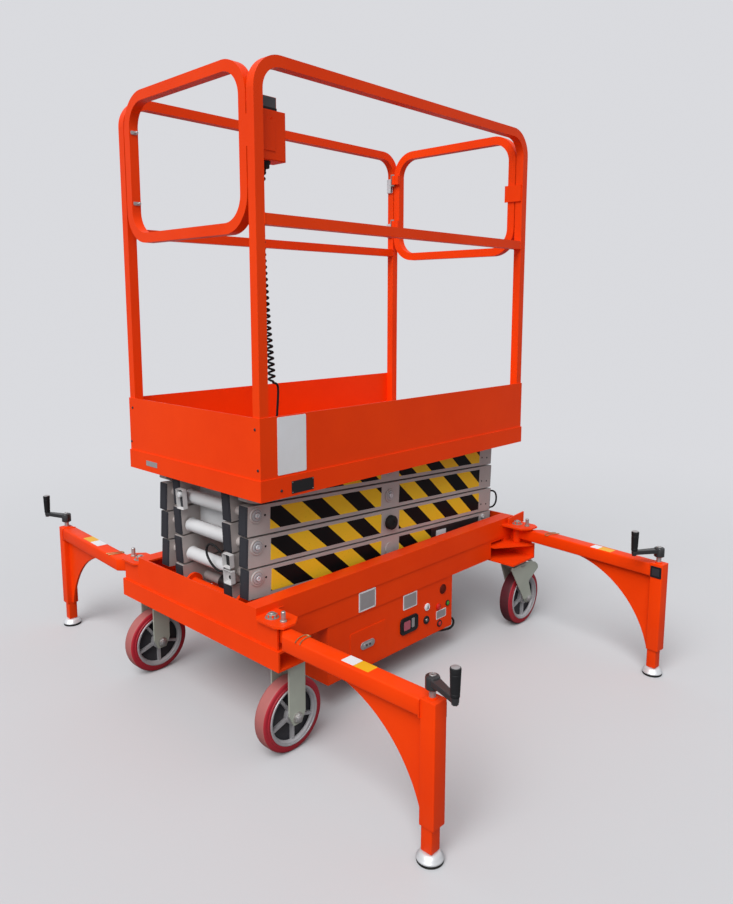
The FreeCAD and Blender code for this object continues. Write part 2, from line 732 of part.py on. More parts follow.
def cord_path(points):
    """Straight runs joined by tangent arcs as large as the shorter of the two runs allows."""
    edges = []
    start = points[0]
    radii = []
    for before, at, after in zip(points, points[1:], points[2:]):
        back = before - at
        ahead = after - at
        turn = math.pi - back.getAngle(ahead)
        cut = 0.45 * min(back.Length, ahead.Length)
        radii.append(round(cut / math.tan(turn / 2), 1))
        back.normalize()
        ahead.normalize()
        a = at + back * cut
        b = at + ahead * cut
        bisector = back + ahead
        bisector.normalize()
        sag = radii[-1] / math.cos(turn / 2) - radii[-1]
        edges.append(Part.makeLine(start, a))
        edges.append(Part.Arc(a, at + bisector * sag, b).toShape())
        start = b
    edges.append(Part.makeLine(start, points[-1]))
    return Part.Wire(edges), radii


save("cord_coil", upright(coil_r, coil_x, coil_y, coil_low, coil_top))
wire, radii = cord_path([Vector(coil_x + dx, coil_y + dy, coil_low - drop) for dx, dy, drop in cord_points])
first = wire.Edges[0].tangentAt(0)
section = Part.Wire(Part.makeCircle(cord_r, wire.Edges[0].valueAt(0), first))
tail = wire.makePipeShell([section], True, False)
save("cord_tail", tail)
print("cord radii", radii, "length", round(wire.Length, 1),
      "volume ratio", round(tail.Volume / (math.pi * cord_r ** 2 * wire.Length), 4))


# Hydraulic cylinder, drawn along X at its low eye and then turned to its folded angle

low = on_arm(cyl_low, 0)
high = on_arm(cyl_high, 1)
reach = (high - low).Length
lean = -math.degrees(math.atan2(high.z - low.z, high.x - low.x))


def laid(shape):
    shape.rotate(Vector(0, 0, 0), Vector(0, 1, 0), lean)
    shape.translate(low)
    return shape


barrel_end = reach - rod_show
barrel = fuse([rod(barrel_r, Vector(34, 0, 0), Vector(barrel_end, 0, 0)),
               cross_rod(24, 0, 0, -20, 20), box(0, 40, -20, 20, -16, 16)])
barrel = barrel.cut(cross_rod(anchor_r + run_fit, 0, 0, -21, 21))
barrel = barrel.cut(rod(rod_r + run_fit, Vector(60, 0, 0), Vector(barrel_end + 1, 0, 0)))
save("cylinder_barrel", laid(barrel))
ram = fuse([rod(rod_r, Vector(61, 0, 0), Vector(reach, 0, 0)),
            cross_rod(24, reach, 0, -eye_half, eye_half)])
ram = ram.cut(cross_rod(anchor_r + run_fit, reach, 0, -eye_half - 1, eye_half + 1))
save("cylinder_rod", laid(ram))
print("cylinder low", low, "high", high, "reach", reach, "lean", lean)
print("shift", shift_x, "tilt", tilt)
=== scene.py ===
import bpy
import math
from mathutils import Matrix, Vector
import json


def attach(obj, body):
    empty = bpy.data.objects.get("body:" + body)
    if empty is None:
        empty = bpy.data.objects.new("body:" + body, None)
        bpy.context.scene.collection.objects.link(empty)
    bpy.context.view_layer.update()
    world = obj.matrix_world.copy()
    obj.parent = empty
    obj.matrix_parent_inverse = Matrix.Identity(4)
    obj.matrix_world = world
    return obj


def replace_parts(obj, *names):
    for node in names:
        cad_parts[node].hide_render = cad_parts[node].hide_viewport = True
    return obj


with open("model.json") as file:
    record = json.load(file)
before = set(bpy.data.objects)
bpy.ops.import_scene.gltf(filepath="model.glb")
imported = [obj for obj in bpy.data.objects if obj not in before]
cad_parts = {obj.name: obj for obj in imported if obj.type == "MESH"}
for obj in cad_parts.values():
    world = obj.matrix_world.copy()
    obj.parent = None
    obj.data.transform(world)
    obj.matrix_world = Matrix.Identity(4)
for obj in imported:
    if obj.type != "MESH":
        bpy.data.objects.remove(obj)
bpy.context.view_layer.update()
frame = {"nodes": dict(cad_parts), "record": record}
nodes = frame["nodes"]
print("frame loaded,", len(nodes), "nodes")

# Sizes below are millimetres about the platform's centre, x toward the gate and z up from the floor
mm = 0.001
shift = -0.032269      # platform centre to the middle of the whole length


def spot(x, y, z):
    return Vector((x * mm + shift, y * mm, z * mm))


machine = Matrix.Translation(spot(0, 0, 0)) @ Matrix.Scale(mm, 4)


def dropSelection():
    bpy.ops.object.select_all(action="DESELECT")


def pick(obj):
    dropSelection()
    obj.select_set(True)
    bpy.context.view_layer.objects.active = obj
    return obj


def inEdit(obj, mode):
    pick(obj)
    bpy.ops.object.mode_set(mode="EDIT")
    bpy.ops.mesh.select_mode(type=mode)
    bpy.ops.mesh.select_all(action="DESELECT")
    bpy.ops.object.mode_set(mode="OBJECT")


def selectFaces(obj, test):
    inEdit(obj, "FACE")
    for face in obj.data.polygons:
        face.select = test(face)
    bpy.ops.object.mode_set(mode="EDIT")


def selectEdges(obj, test):
    inEdit(obj, "EDGE")
    points = obj.data.vertices
    for edge in obj.data.edges:
        edge.select = test(points[edge.vertices[0]].co, points[edge.vertices[1]].co)
    bpy.ops.object.mode_set(mode="EDIT")


def outwards(obj):
    pick(obj)
    bpy.ops.object.mode_set(mode="EDIT")
    bpy.ops.mesh.select_all(action="SELECT")
    bpy.ops.mesh.remove_doubles(threshold=0.00001)
    bpy.ops.mesh.normals_make_consistent(inside=False)
    bpy.ops.object.mode_set(mode="OBJECT")
    return obj


def softened(obj, width, segments=2, angle=30):
    pick(obj)
    edge = obj.modifiers.new("softEdges", "BEVEL")
    edge.width = width
    edge.segments = segments
    edge.limit_method = "ANGLE"
    edge.angle_limit = math.radians(angle)
    bpy.ops.object.modifier_apply(modifier=edge.name)
    return obj


def smoothed(obj, angle=35):
    pick(obj)
    bpy.ops.object.shade_smooth_by_angle(angle=math.radians(angle))
    return obj


def joined(parts):
    dropSelection()
    for part in parts:
        part.select_set(True)
    bpy.context.view_layer.objects.active = parts[0]
    if len(parts) > 1:
        bpy.ops.object.join()
    return parts[0]


def painted(obj, finish):
    obj.data.materials.clear()
    obj.data.materials.append(finish)
    return obj


def settle(obj, name, body, place=None):
    if place is not None:
        obj.data.transform(place)
        if place.determinant() < 0:
            obj.data.flip_normals()
    obj.name = name
    obj.data.name = name
    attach(obj, body)
    return obj


def stamp(master, places, name, body):
    twins = []
    for place in places:
        twin = master.copy()
        twin.data = master.data.copy()
        bpy.context.collection.objects.link(twin)
        twin.data.transform(place)
        if place.determinant() < 0:
            twin.data.flip_normals()
        twins.append(twin)
    return settle(joined(twins), name, body)


def forget(*masters):
    for master in masters:
        bpy.data.objects.remove(master)


def slab(low, high, edge=1.0, segments=2):
    dropSelection()
    middle = [(a + b) / 2 for a, b in zip(low, high)]
    bpy.ops.mesh.primitive_cube_add(size=1, location=middle)
    block = bpy.context.active_object
    block.scale = [b - a for a, b in zip(low, high)]
    bpy.ops.object.transform_apply(location=True, rotation=True, scale=True)
    return softened(block, edge, segments) if edge else block


def turned(profile, sides=28):
    # a disc drawn up through rings of (radius, height)
    dropSelection()
    radius, height = profile[0]
    bpy.ops.mesh.primitive_circle_add(vertices=sides, radius=radius, fill_type="NGON", location=(0, 0, height))
    disc = bpy.context.active_object
    bpy.ops.object.transform_apply(location=True, rotation=True, scale=True)
    bpy.ops.object.mode_set(mode="EDIT")
    bpy.ops.mesh.select_all(action="SELECT")
    for (wasRadius, wasHeight), (radius, height) in zip(profile, profile[1:]):
        bpy.ops.mesh.extrude_region_move(TRANSFORM_OT_translate={"value": (0, 0, height - wasHeight)})
        grow = radius / wasRadius
        bpy.ops.transform.resize(value=(grow, grow, 1), center_override=(0, 0, height))
    bpy.ops.object.mode_set(mode="OBJECT")
    return smoothed(outwards(disc))


def cutSheet(outline, thick, edge=0.5):
    # a flat outline in x and y, drawn up to its thickness
    dropSelection()
    bpy.ops.mesh.primitive_circle_add(vertices=len(outline), radius=1, fill_type="NGON")
    plate = bpy.context.active_object
    for vertex, (x, y) in zip(plate.data.vertices, outline):
        vertex.co = (x, y, 0)
    bpy.ops.object.mode_set(mode="EDIT")
    bpy.ops.mesh.select_all(action="SELECT")
    bpy.ops.mesh.extrude_region_move(TRANSFORM_OT_translate={"value": (0, 0, thick)})
    bpy.ops.object.mode_set(mode="OBJECT")
    outwards(plate)
    return softened(plate, edge, 2) if edge else plate


def splineCurve(name, points, kind="NURBS", swells=None):
    line = bpy.data.curves.new(name, "CURVE")
    line.dimensions = "3D"
    spline = line.splines.new(kind)
    spline.points.add(len(points) - 1)
    for point, place, swell in zip(spline.points, points, swells or [1.0] * len(points)):
        point.co = (*place, 1.0)
        point.radius = swell
    spline.order_u = 3
    spline.use_endpoint_u = True
    spline.resolution_u = 4
    obj = bpy.data.objects.new(name, line)
    bpy.context.collection.objects.link(obj)
    return obj


def pipeRun(points, radius, kind="NURBS", roundness=3, swells=None):
    # hose, wire or bead along a line
    line = splineCurve("run", points, kind, swells)
    line.data.bevel_depth = radius
    line.data.bevel_resolution = roundness
    line.data.use_fill_caps = True
    pick(line)
    bpy.ops.object.convert(target="MESH")
    return smoothed(bpy.context.active_object, 60)


def spun(outline, steps=56):
    # a ring about local z from a closed outline of (radius, height)
    dropSelection()
    bpy.ops.mesh.primitive_circle_add(vertices=len(outline), fill_type="NOTHING")
    ring = bpy.context.active_object
    for vertex, (radius, height) in zip(ring.data.vertices, outline):
        vertex.co = (radius, 0, height)
    bpy.ops.object.mode_set(mode="EDIT")
    bpy.ops.mesh.select_all(action="SELECT")
    bpy.ops.mesh.spin(steps=steps, angle=2 * math.pi, center=(0, 0, 0), axis=(0, 0, 1), use_auto_merge=True)
    bpy.ops.object.mode_set(mode="OBJECT")
    return smoothed(outwards(ring), 40)


def roundedOutline(width, height, radius, steps=5):
    outline = []
    for n, (sx, sy) in enumerate(((1, 1), (-1, 1), (-1, -1), (1, -1))):
        for k in range(steps):
            angle = math.radians(90 * (n + k / (steps - 1)))
            outline.append((sx * (width / 2 - radius) + radius * math.cos(angle),
                            sy * (height / 2 - radius) + radius * math.sin(angle)))
    return outline


def aimed(point, toward, up=(0, 0, 1)):
    # local z along toward, local y as near to up as it can be
    z = Vector(toward).normalized()
    y = Vector(up) - Vector(up).dot(z) * z
    y = y.normalized() if y.length > 0.001 else Vector((0, 1, 0))
    x = y.cross(z)
    return Matrix((x, y, z)).transposed().to_4x4(), Vector(point)


def within(around, point, toward, up=(0, 0, 1)):
    turn, at = aimed(point, toward, up)
    return around @ Matrix.Translation(at) @ turn


def onMachine(point, toward, up=(0, 0, 1)):
    return within(machine, point, toward, up)


def addNode(tree, kind, values=None, **settings):
    node = tree.nodes.new(kind)
    for key, value in settings.items():
        setattr(node, key, value)
    for key, value in (values or {}).items():
        if hasattr(value, "is_linked"):
            tree.links.new(value, node.inputs[key])
        else:
            node.inputs[key].default_value = value
    return node


def newGroup(name, inputs, outputs):
    group = bpy.data.node_groups.new(name, "ShaderNodeTree")
    for label, kind in inputs:
        group.interface.new_socket(name=label, in_out="INPUT", socket_type="NodeSocket" + kind)
    for label in outputs:
        group.interface.new_socket(name=label, in_out="OUTPUT", socket_type="NodeSocketFloat")
    return group, group.nodes.new("NodeGroupInput").outputs, group.nodes.new("NodeGroupOutput").inputs


def makeSkinGroup():
    # paint film: fine orange peel, slow waves and blotches
    group, given, result = newGroup("paintSkin", (("Vector", "Vector"), ("Grain", "Float")),
                                    ("Height", "Blotch", "Speck"))
    fine = addNode(group, "ShaderNodeTexNoise", {"Vector": given["Vector"], "Scale": given["Grain"], "Detail": 2.0})
    slow = addNode(group, "ShaderNodeTexNoise", {"Vector": given["Vector"], "Scale": 9.0, "Detail": 3.0})
    waves = addNode(group, "ShaderNodeMath", {0: slow.outputs[0], 1: 2.0}, operation="MULTIPLY")
    both = addNode(group, "ShaderNodeMath", {0: fine.outputs[0], 1: waves.outputs[0]}, operation="ADD")
    blotch = addNode(group, "ShaderNodeTexNoise", {"Vector": given["Vector"], "Scale": 3.2, "Detail": 6.0,
                                                   "Roughness": 0.62})
    spread = addNode(group, "ShaderNodeMapRange", {"Value": blotch.outputs[0], "From Min": 0.36, "From Max": 0.68})
    dots = addNode(group, "ShaderNodeTexNoise", {"Vector": given["Vector"], "Scale": 160.0, "Detail": 3.0})
    speck = addNode(group, "ShaderNodeMapRange", {"Value": dots.outputs[0], "From Min": 0.66, "From Max": 0.74})
    group.links.new(both.outputs[0], result["Height"])
    group.links.new(spread.outputs[0], result["Blotch"])
    group.links.new(speck.outputs[0], result["Speck"])
    return group


def makeDustGroup():
    # dust on faces that look up and road splash near the floor
    group, given, result = newGroup("dustAndSplash", (("Vector", "Vector"), ("Normal", "Vector"), ("Reach", "Float")),
                                    ("Mask",))
    facing = addNode(group, "ShaderNodeSeparateXYZ", {"Vector": given["Normal"]})
    upward = addNode(group, "ShaderNodeMapRange", {"Value": facing.outputs["Z"], "From Min": 0.5, "From Max": 1.0,
                                                   "To Max": 0.6})
    height = addNode(group, "ShaderNodeSeparateXYZ", {"Vector": given["Vector"]})
    splash = addNode(group, "ShaderNodeMapRange", {"Value": height.outputs["Z"], "From Min": given["Reach"],
                                                   "From Max": 0.0, "To Max": 0.9})
    most = addNode(group, "ShaderNodeMath", {0: upward.outputs[0], 1: splash.outputs[0]}, operation="MAXIMUM")
    cloud = addNode(group, "ShaderNodeTexNoise", {"Vector": given["Vector"], "Scale": 14.0, "Detail": 8.0,
                                                  "Roughness": 0.7})
    broken = addNode(group, "ShaderNodeMapRange", {"Value": cloud.outputs[0], "From Min": 0.42, "From Max": 0.72})
    mask = addNode(group, "ShaderNodeMath", {0: most.outputs[0], 1: broken.outputs[0]}, operation="MULTIPLY")
    group.links.new(mask.outputs[0], result["Mask"])
    return group


def makeStreakGroup():
    # drawn or brushed metal: noise stretched along one axis, with a few deeper lines
    group, given, result = newGroup("drawnMetal", (("Vector", "Vector"),), ("Streak", "Scratch"))
    long = addNode(group, "ShaderNodeTexNoise", {"Vector": given["Vector"], "Scale": 60.0, "Detail": 4.0})
    deep = addNode(group, "ShaderNodeTexNoise", {"Vector": given["Vector"], "Scale": 25.0, "Detail": 2.0})
    lines = addNode(group, "ShaderNodeMapRange", {"Value": deep.outputs[0], "From Min": 0.62, "From Max": 0.7})
    group.links.new(long.outputs[0], result["Streak"])
    group.links.new(lines.outputs[0], result["Scratch"])
    return group


def makeHazardGroup():
    # slanting bands along u, their edges moving down along v
    group, given, result = newGroup("hazardBands", (("Vector", "Vector"), ("Pitch", "Float"), ("Slant", "Float")),
                                    ("Band",))
    along = addNode(group, "ShaderNodeSeparateXYZ", {"Vector": given["Vector"]})
    lean = addNode(group, "ShaderNodeMath", {0: along.outputs["Y"], 1: given["Slant"]}, operation="MULTIPLY")
    moved = addNode(group, "ShaderNodeMath", {0: along.outputs["X"], 1: lean.outputs[0]}, operation="ADD")
    turns = addNode(group, "ShaderNodeMath", {0: moved.outputs[0], 1: given["Pitch"]}, operation="DIVIDE")
    part = addNode(group, "ShaderNodeMath", {0: turns.outputs[0]}, operation="FRACT")
    wave = addNode(group, "ShaderNodeMath", {0: part.outputs[0], 1: 0.5}, operation="SUBTRACT")
    band = addNode(group, "ShaderNodeMapRange", {"Value": wave.outputs[0], "From Min": -0.004, "From Max": 0.004})
    group.links.new(band.outputs[0], result["Band"])
    return group


skinGroup = makeSkinGroup()
dustGroup = makeDustGroup()
streakGroup = makeStreakGroup()
hazardGroup = makeHazardGroup()


def useGroup(tree, group, values):
    return addNode(tree, "ShaderNodeGroup", None, node_tree=group) if not values else \
        fillGroup(tree, addNode(tree, "ShaderNodeGroup", None, node_tree=group), values)


def fillGroup(tree, node, values):
    for key, value in values.items():
        if hasattr(value, "is_linked"):
            tree.links.new(value, node.inputs[key])
        else:
            node.inputs[key].default_value = value
    return node


def blended(tree, factor, first, second):
    mix = tree.nodes.new("ShaderNodeMix")
    mix.data_type = "RGBA"
    for socket, value in ((mix.inputs[0], factor), (mix.inputs[6], first), (mix.inputs[7], second)):
        if hasattr(value, "is_linked"):
            tree.links.new(value, socket)
        else:
            socket.default_value = value
    return mix.outputs[2]


def scaled(tree, value, factor):
    return addNode(tree, "ShaderNodeMath", {0: value, 1: factor}, operation="MULTIPLY").outputs[0]


def ranged(tree, value, low, high):
    return addNode(tree, "ShaderNodeMapRange", {"Value": value, "To Min": low, "To Max": high}).outputs[0]


def rgb(colour):
    return (*colour, 1.0)


def startFinish(name):
    finish = bpy.data.materials.new(name)
    finish.use_nodes = True
    tree = finish.node_tree
    shader = tree.nodes["Principled BSDF"]
    where = tree.nodes.new("ShaderNodeTexCoord").outputs
    return finish, tree, shader, where


def paintFinish(name, look):
    # sprayed or powder-coated colour with dust
    finish, tree, shader, where = startFinish(name)
    skin = useGroup(tree, skinGroup, {"Vector": where["Object"], "Grain": look["grain"]}).outputs
    dust = useGroup(tree, dustGroup, {"Vector": where["Object"], "Normal": where["Normal"],
                                      "Reach": look.get("splash", 0.3)}).outputs
    colour = blended(tree, scaled(tree, skin["Blotch"], look["vary"]), rgb(look["colour"]), rgb(look["deep"]))
    colour = blended(tree, scaled(tree, skin["Speck"], look.get("speck", 0.15)), colour, rgb(look["deep"]))
    colour = blended(tree, scaled(tree, dust["Mask"], look["dust"]), colour, rgb(look.get("dirt", (0.17, 0.14, 0.12))))
    tree.links.new(colour, shader.inputs["Base Color"])
    tree.links.new(ranged(tree, skin["Blotch"], look["rough"], look["rough"] + look["roughVary"]),
                   shader.inputs["Roughness"])
    shader.inputs["Metallic"].default_value = look.get("metal", 0.0)
    shader.inputs["Specular IOR Level"].default_value = look.get("shine", 0.4)
    bump = addNode(tree, "ShaderNodeBump", {"Strength": look["bump"], "Distance": 0.0006, "Height": skin["Height"]})
    tree.links.new(bump.outputs[0], shader.inputs["Normal"])
    return finish


def metalFinish(name, look):
    # bare or plated metal with streaks along one axis and dull spots
    finish, tree, shader, where = startFinish(name)
    stretch = addNode(tree, "ShaderNodeMapping", {"Vector": where["Object"], "Scale": look["stretch"]})
    drawn = useGroup(tree, streakGroup, {"Vector": stretch.outputs[0]}).outputs
    skin = useGroup(tree, skinGroup, {"Vector": where["Object"], "Grain": 300.0}).outputs
    colour = blended(tree, scaled(tree, skin["Blotch"], look["vary"]), rgb(look["colour"]), rgb(look["deep"]))
    colour = blended(tree, scaled(tree, drawn["Scratch"], 0.35), colour, rgb(look["deep"]))
    tree.links.new(colour, shader.inputs["Base Color"])
    tree.links.new(ranged(tree, drawn["Streak"], look["rough"], look["rough"] + look["roughVary"]),
                   shader.inputs["Roughness"])
    shader.inputs["Metallic"].default_value = look["metal"]
    bump = addNode(tree, "ShaderNodeBump", {"Strength": look["bump"], "Distance": 0.0004, "Height": drawn["Streak"]})
    tree.links.new(bump.outputs[0], shader.inputs["Normal"])
    return finish


def hazardFinish(name, look):
    # printed film: black and yellow bands on the plate's own map, which is in metres
    finish, tree, shader, where = startFinish(name)
    bands = useGroup(tree, hazardGroup, {"Vector": where["UV"], "Pitch": look["pitch"], "Slant": look["slant"]}).outputs
    skin = useGroup(tree, skinGroup, {"Vector": where["Object"], "Grain": 260.0}).outputs
    yellow = blended(tree, scaled(tree, skin["Blotch"], 0.25), rgb(look["yellow"]), rgb(look["stain"]))
    black = blended(tree, scaled(tree, skin["Blotch"], 0.4), rgb(look["black"]), rgb(look["worn"]))
    colour = blended(tree, bands["Band"], black, yellow)
    colour = blended(tree, scaled(tree, skin["Speck"], 0.35), colour, rgb(look["worn"]))
    tree.links.new(colour, shader.inputs["Base Color"])
    tree.links.new(ranged(tree, skin["Blotch"], 0.32, 0.5), shader.inputs["Roughness"])
    shader.inputs["Specular IOR Level"].default_value = 0.08
    bump = addNode(tree, "ShaderNodeBump", {"Strength": 0.06, "Distance": 0.0004, "Height": skin["Height"]})
    tree.links.new(bump.outputs[0], shader.inputs["Normal"])
    return finish


def glowFinish(name, look):
    # coloured lens of a lamp
    finish, tree, shader, where = startFinish(name)
    rings = addNode(tree, "ShaderNodeTexNoise", {"Vector": where["Object"], "Scale": 500.0})
    colour = blended(tree, scaled(tree, rings.outputs[0], 0.6), rgb(look["colour"]), rgb(look["deep"]))
    tree.links.new(colour, shader.inputs["Base Color"])
    shader.inputs["Roughness"].default_value = 0.12
    shader.inputs["Coat Weight"].default_value = 0.6
    return finish


orangePaint = paintFinish("orangePaint", {
    "colour": (0.90, 0.054, 0.002), "deep": (0.76, 0.034, 0.001), "vary": 0.45, "dust": 0.12, "rough": 0.3,
    "roughVary": 0.16, "grain": 420.0, "bump": 0.14, "shine": 0.11, "speck": 0.1, "dirt": (0.3, 0.11, 0.06)})
armPaint = paintFinish("armPaint", {
    "colour": (0.50, 0.455, 0.44), "deep": (0.36, 0.31, 0.295), "vary": 0.55, "dust": 0.2, "rough": 0.38,
    "roughVary": 0.2, "grain": 360.0, "bump": 0.2, "metal": 0.15, "speck": 0.3})
tubePaint = paintFinish("tubePaint", {
    "colour": (0.62, 0.61, 0.61), "deep": (0.44, 0.42, 0.41), "vary": 0.5, "dust": 0.2, "rough": 0.36,
    "roughVary": 0.2, "grain": 360.0, "bump": 0.16, "speck": 0.2})
blackPaint = paintFinish("blackPaint", {
    "colour": (0.014, 0.014, 0.016), "deep": (0.03, 0.028, 0.028), "vary": 0.7, "dust": 0.14, "rough": 0.3,
    "roughVary": 0.2, "grain": 420.0, "bump": 0.16, "speck": 0.1, "shine": 0.6})
crankPaint = paintFinish("crankPaint", {
    "colour": (0.016, 0.015, 0.017), "deep": (0.01, 0.01, 0.011), "vary": 0.6, "dust": 0.08, "rough": 0.22,
    "roughVary": 0.12, "grain": 420.0, "bump": 0.12, "speck": 0.1, "shine": 1.0})
# dark red: the vent plug's own colour, and also the painted shade of the dark strips in the gaps under overhangs
ventRedAndPaintedShade = paintFinish("ventRedAndPaintedShade", {
    "colour": (0.13, 0.010, 0.003), "deep": (0.07, 0.006, 0.003), "vary": 0.6, "dust": 0.2, "rough": 0.5,
    "roughVary": 0.2, "grain": 420.0, "bump": 0.2, "shine": 0.15})
blackPlastic = paintFinish("blackPlastic", {
    "colour": (0.012, 0.012, 0.014), "deep": (0.022, 0.021, 0.022), "vary": 0.6, "dust": 0.06, "rough": 0.42,
    "roughVary": 0.18, "grain": 900.0, "bump": 0.3, "speck": 0.1, "shine": 0.2})
greyPlastic = paintFinish("greyPlastic", {
    "colour": (0.095, 0.102, 0.112), "deep": (0.065, 0.068, 0.076), "vary": 0.6, "dust": 0.15, "rough": 0.45,
    "roughVary": 0.18, "grain": 900.0, "bump": 0.3, "speck": 0.1})
blackRubber = paintFinish("blackRubber", {
    "colour": (0.010, 0.010, 0.011), "deep": (0.02, 0.019, 0.018), "vary": 0.6, "dust": 0.08, "rough": 0.55,
    "roughVary": 0.25, "grain": 700.0, "bump": 0.4, "speck": 0.1, "shine": 0.2})
redTread = paintFinish("redTread", {
    "colour": (0.42, 0.016, 0.03), "deep": (0.27, 0.012, 0.022), "vary": 0.6, "dust": 0.35, "rough": 0.36,
    "roughVary": 0.25, "grain": 500.0, "bump": 0.25, "speck": 0.35, "splash": 0.3, "dirt": (0.13, 0.06, 0.055),
    "shine": 0.3})
castHub = paintFinish("castHub", {
    "colour": (0.52, 0.51, 0.53), "deep": (0.33, 0.32, 0.33), "vary": 0.7, "dust": 0.3, "rough": 0.36,
    "roughVary": 0.25, "grain": 520.0, "bump": 0.55, "metal": 0.35, "speck": 0.5})
# dark running face of the front tyres: dirt, with the shade that falls on the tread painted into it as well
treadDirtAndShade = paintFinish("treadDirtAndShade", {
    "colour": (0.10, 0.010, 0.018), "deep": (0.05, 0.008, 0.012), "vary": 0.8, "dust": 0.2, "rough": 0.5,
    "roughVary": 0.2, "grain": 300.0, "bump": 0.2, "speck": 0.2, "shine": 0.3})
dustyTread = paintFinish("dustyTread", {
    "colour": (0.42, 0.13, 0.12), "deep": (0.28, 0.08, 0.08), "vary": 0.8, "dust": 0.35, "rough": 0.55,
    "roughVary": 0.2, "grain": 300.0, "bump": 0.25, "speck": 0.35, "shine": 0.3})
forkMetal = paintFinish("forkMetal", {
    "colour": (0.44, 0.47, 0.40), "deep": (0.30, 0.31, 0.26), "vary": 0.7, "dust": 0.2, "rough": 0.3,
    "roughVary": 0.2, "grain": 260.0, "bump": 0.1, "speck": 0.1, "shine": 0.8})
zinc = metalFinish("zinc", {
    "colour": (0.50, 0.49, 0.45), "deep": (0.27, 0.26, 0.23), "vary": 0.7, "rough": 0.34, "roughVary": 0.25,
    "metal": 0.7, "bump": 0.25, "stretch": (1.0, 1.0, 0.4)})
steel = metalFinish("steel", {
    "colour": (0.56, 0.55, 0.55), "deep": (0.28, 0.26, 0.25), "vary": 0.5, "rough": 0.3, "roughVary": 0.25,
    "metal": 0.8, "bump": 0.2, "stretch": (0.3, 1.0, 1.0)})
chrome = metalFinish("chrome", {
    "colour": (0.78, 0.79, 0.82), "deep": (0.5, 0.5, 0.52), "vary": 0.3, "rough": 0.1, "roughVary": 0.14,
    "metal": 0.95, "bump": 0.05, "stretch": (1.0, 1.0, 0.2)})
footMetal = metalFinish("footMetal", {
    "colour": (0.80, 0.81, 0.84), "deep": (0.5, 0.5, 0.5), "vary": 0.5, "rough": 0.3, "roughVary": 0.2,
    "metal": 0.45, "bump": 0.12, "stretch": (1.0, 1.0, 0.3)})
whiteTube = paintFinish("whiteTube", {
    "colour": (0.64, 0.64, 0.65), "deep": (0.48, 0.47, 0.465), "vary": 0.5, "dust": 0.15, "rough": 0.34,
    "roughVary": 0.2, "grain": 360.0, "bump": 0.16, "speck": 0.15})
charcoal = paintFinish("charcoal", {
    "colour": (0.034, 0.034, 0.042), "deep": (0.02, 0.02, 0.024), "vary": 0.6, "dust": 0.2, "rough": 0.45,
    "roughVary": 0.18, "grain": 700.0, "bump": 0.25, "speck": 0.15, "shine": 0.25})
brass = metalFinish("brass", {
    "colour": (0.62, 0.42, 0.19), "deep": (0.3, 0.19, 0.08), "vary": 0.5, "rough": 0.32, "roughVary": 0.2,
    "metal": 0.8, "bump": 0.15, "stretch": (1.0, 1.0, 1.0)})
whiteFilm = paintFinish("whiteFilm", {
    "colour": (0.80, 0.81, 0.84), "deep": (0.62, 0.6, 0.58), "vary": 0.45, "dust": 0.1, "rough": 0.3,
    "roughVary": 0.15, "grain": 200.0, "bump": 0.08})
greyPlate = paintFinish("greyPlate", {
    "colour": (0.44, 0.42, 0.43), "deep": (0.3, 0.27, 0.27), "vary": 0.6, "dust": 0.1, "rough": 0.3,
    "roughVary": 0.2, "grain": 700.0, "bump": 0.12, "metal": 0.4, "speck": 0.3})
yellowFilm = paintFinish("yellowFilm", {
    "colour": (0.86, 0.45, 0.01), "deep": (0.7, 0.33, 0.01), "vary": 0.45, "dust": 0.1, "rough": 0.28,
    "roughVary": 0.15, "grain": 900.0, "bump": 0.3})
hazardFilm = hazardFinish("hazardFilm", {
    "pitch": 0.168, "slant": 1.2537, "yellow": (0.93, 0.58, 0.025), "stain": (0.72, 0.42, 0.04),
    "black": (0.005, 0.005, 0.006), "worn": (0.018, 0.016, 0.014)})
redLens = glowFinish("redLens", {"colour": (0.75, 0.010, 0.005), "deep": (0.4, 0.004, 0.004)})
greenLens = glowFinish("greenLens", {"colour": (0.05, 0.36, 0.02), "deep": (0.02, 0.16, 0.01)})
gaugeGlass = glowFinish("gaugeGlass", {"colour": (0.50, 0.07, 0.11), "deep": (0.34, 0.12, 0.16)})

slotFinish = {"orange_paint": orangePaint, "arm_paint": armPaint, "steel": steel, "zinc": zinc,
              "cast_hub": castHub, "red_tread": redTread, "black_rubber": blackRubber,
              "black_paint": blackPaint, "black_plastic": blackPlastic, "chrome": chrome}
nodeFinish = {"control_box": orangePaint, "base_pivot": orangePaint, "rear_forks": forkMetal,
              "front_right_fork": forkMetal, "front_left_fork": forkMetal}
for corner in ("rear_right", "front_right", "rear_left", "front_left"):
    nodeFinish[corner + "_foot"] = footMetal
    nodeFinish[corner + "_crank"] = crankPaint
slotOf = {entry["node"]: entry["material_slot"] for entry in frame["record"]["subparts"]}
for nodeName, node in nodes.items():
    finish = nodeFinish.get(nodeName, slotFinish[slotOf[nodeName]])
    if not node.material_slots:
        node.data.materials.append(finish)
    for materialSlot in node.material_slots:
        materialSlot.material = finish
print("finishes on", len(nodes), "nodes")


cameraPlace = {"at": (-1.942993, -1.924480, 1.279235), "turn": (81.5935, -0.072, -46.5824),
               "lens": 30.1892, "side": 0.000476, "down": -0.03972}
dropSelection()
bpy.ops.object.camera_add(location=cameraPlace["at"], rotation=[math.radians(a) for a in cameraPlace["turn"]])
camera = bpy.context.active_object
camera.data.lens = cameraPlace["lens"]
camera.data.sensor_width = 36.0
camera.data.sensor_fit = "AUTO"
camera.data.shift_x = cameraPlace["side"]
camera.data.shift_y = cameraPlace["down"]
bpy.context.scene.camera = camera

bpy.context.scene.view_settings.view_transform = "Standard"
studio = {"floorSize": 60.0, "floorColour": (0.56, 0.565, 0.58), "backColour": (0.70, 0.705, 0.735),
          "skyColour": (0.95, 0.97, 1.0), "sky": 0.55, "sun": 2.9, "sunSoftness": 45.0, "sunFrom": (-0.72, -0.28, 0.85),
          "fadeStart": 1.6, "fadeEnd": 4.5, "bounce": 0.32}


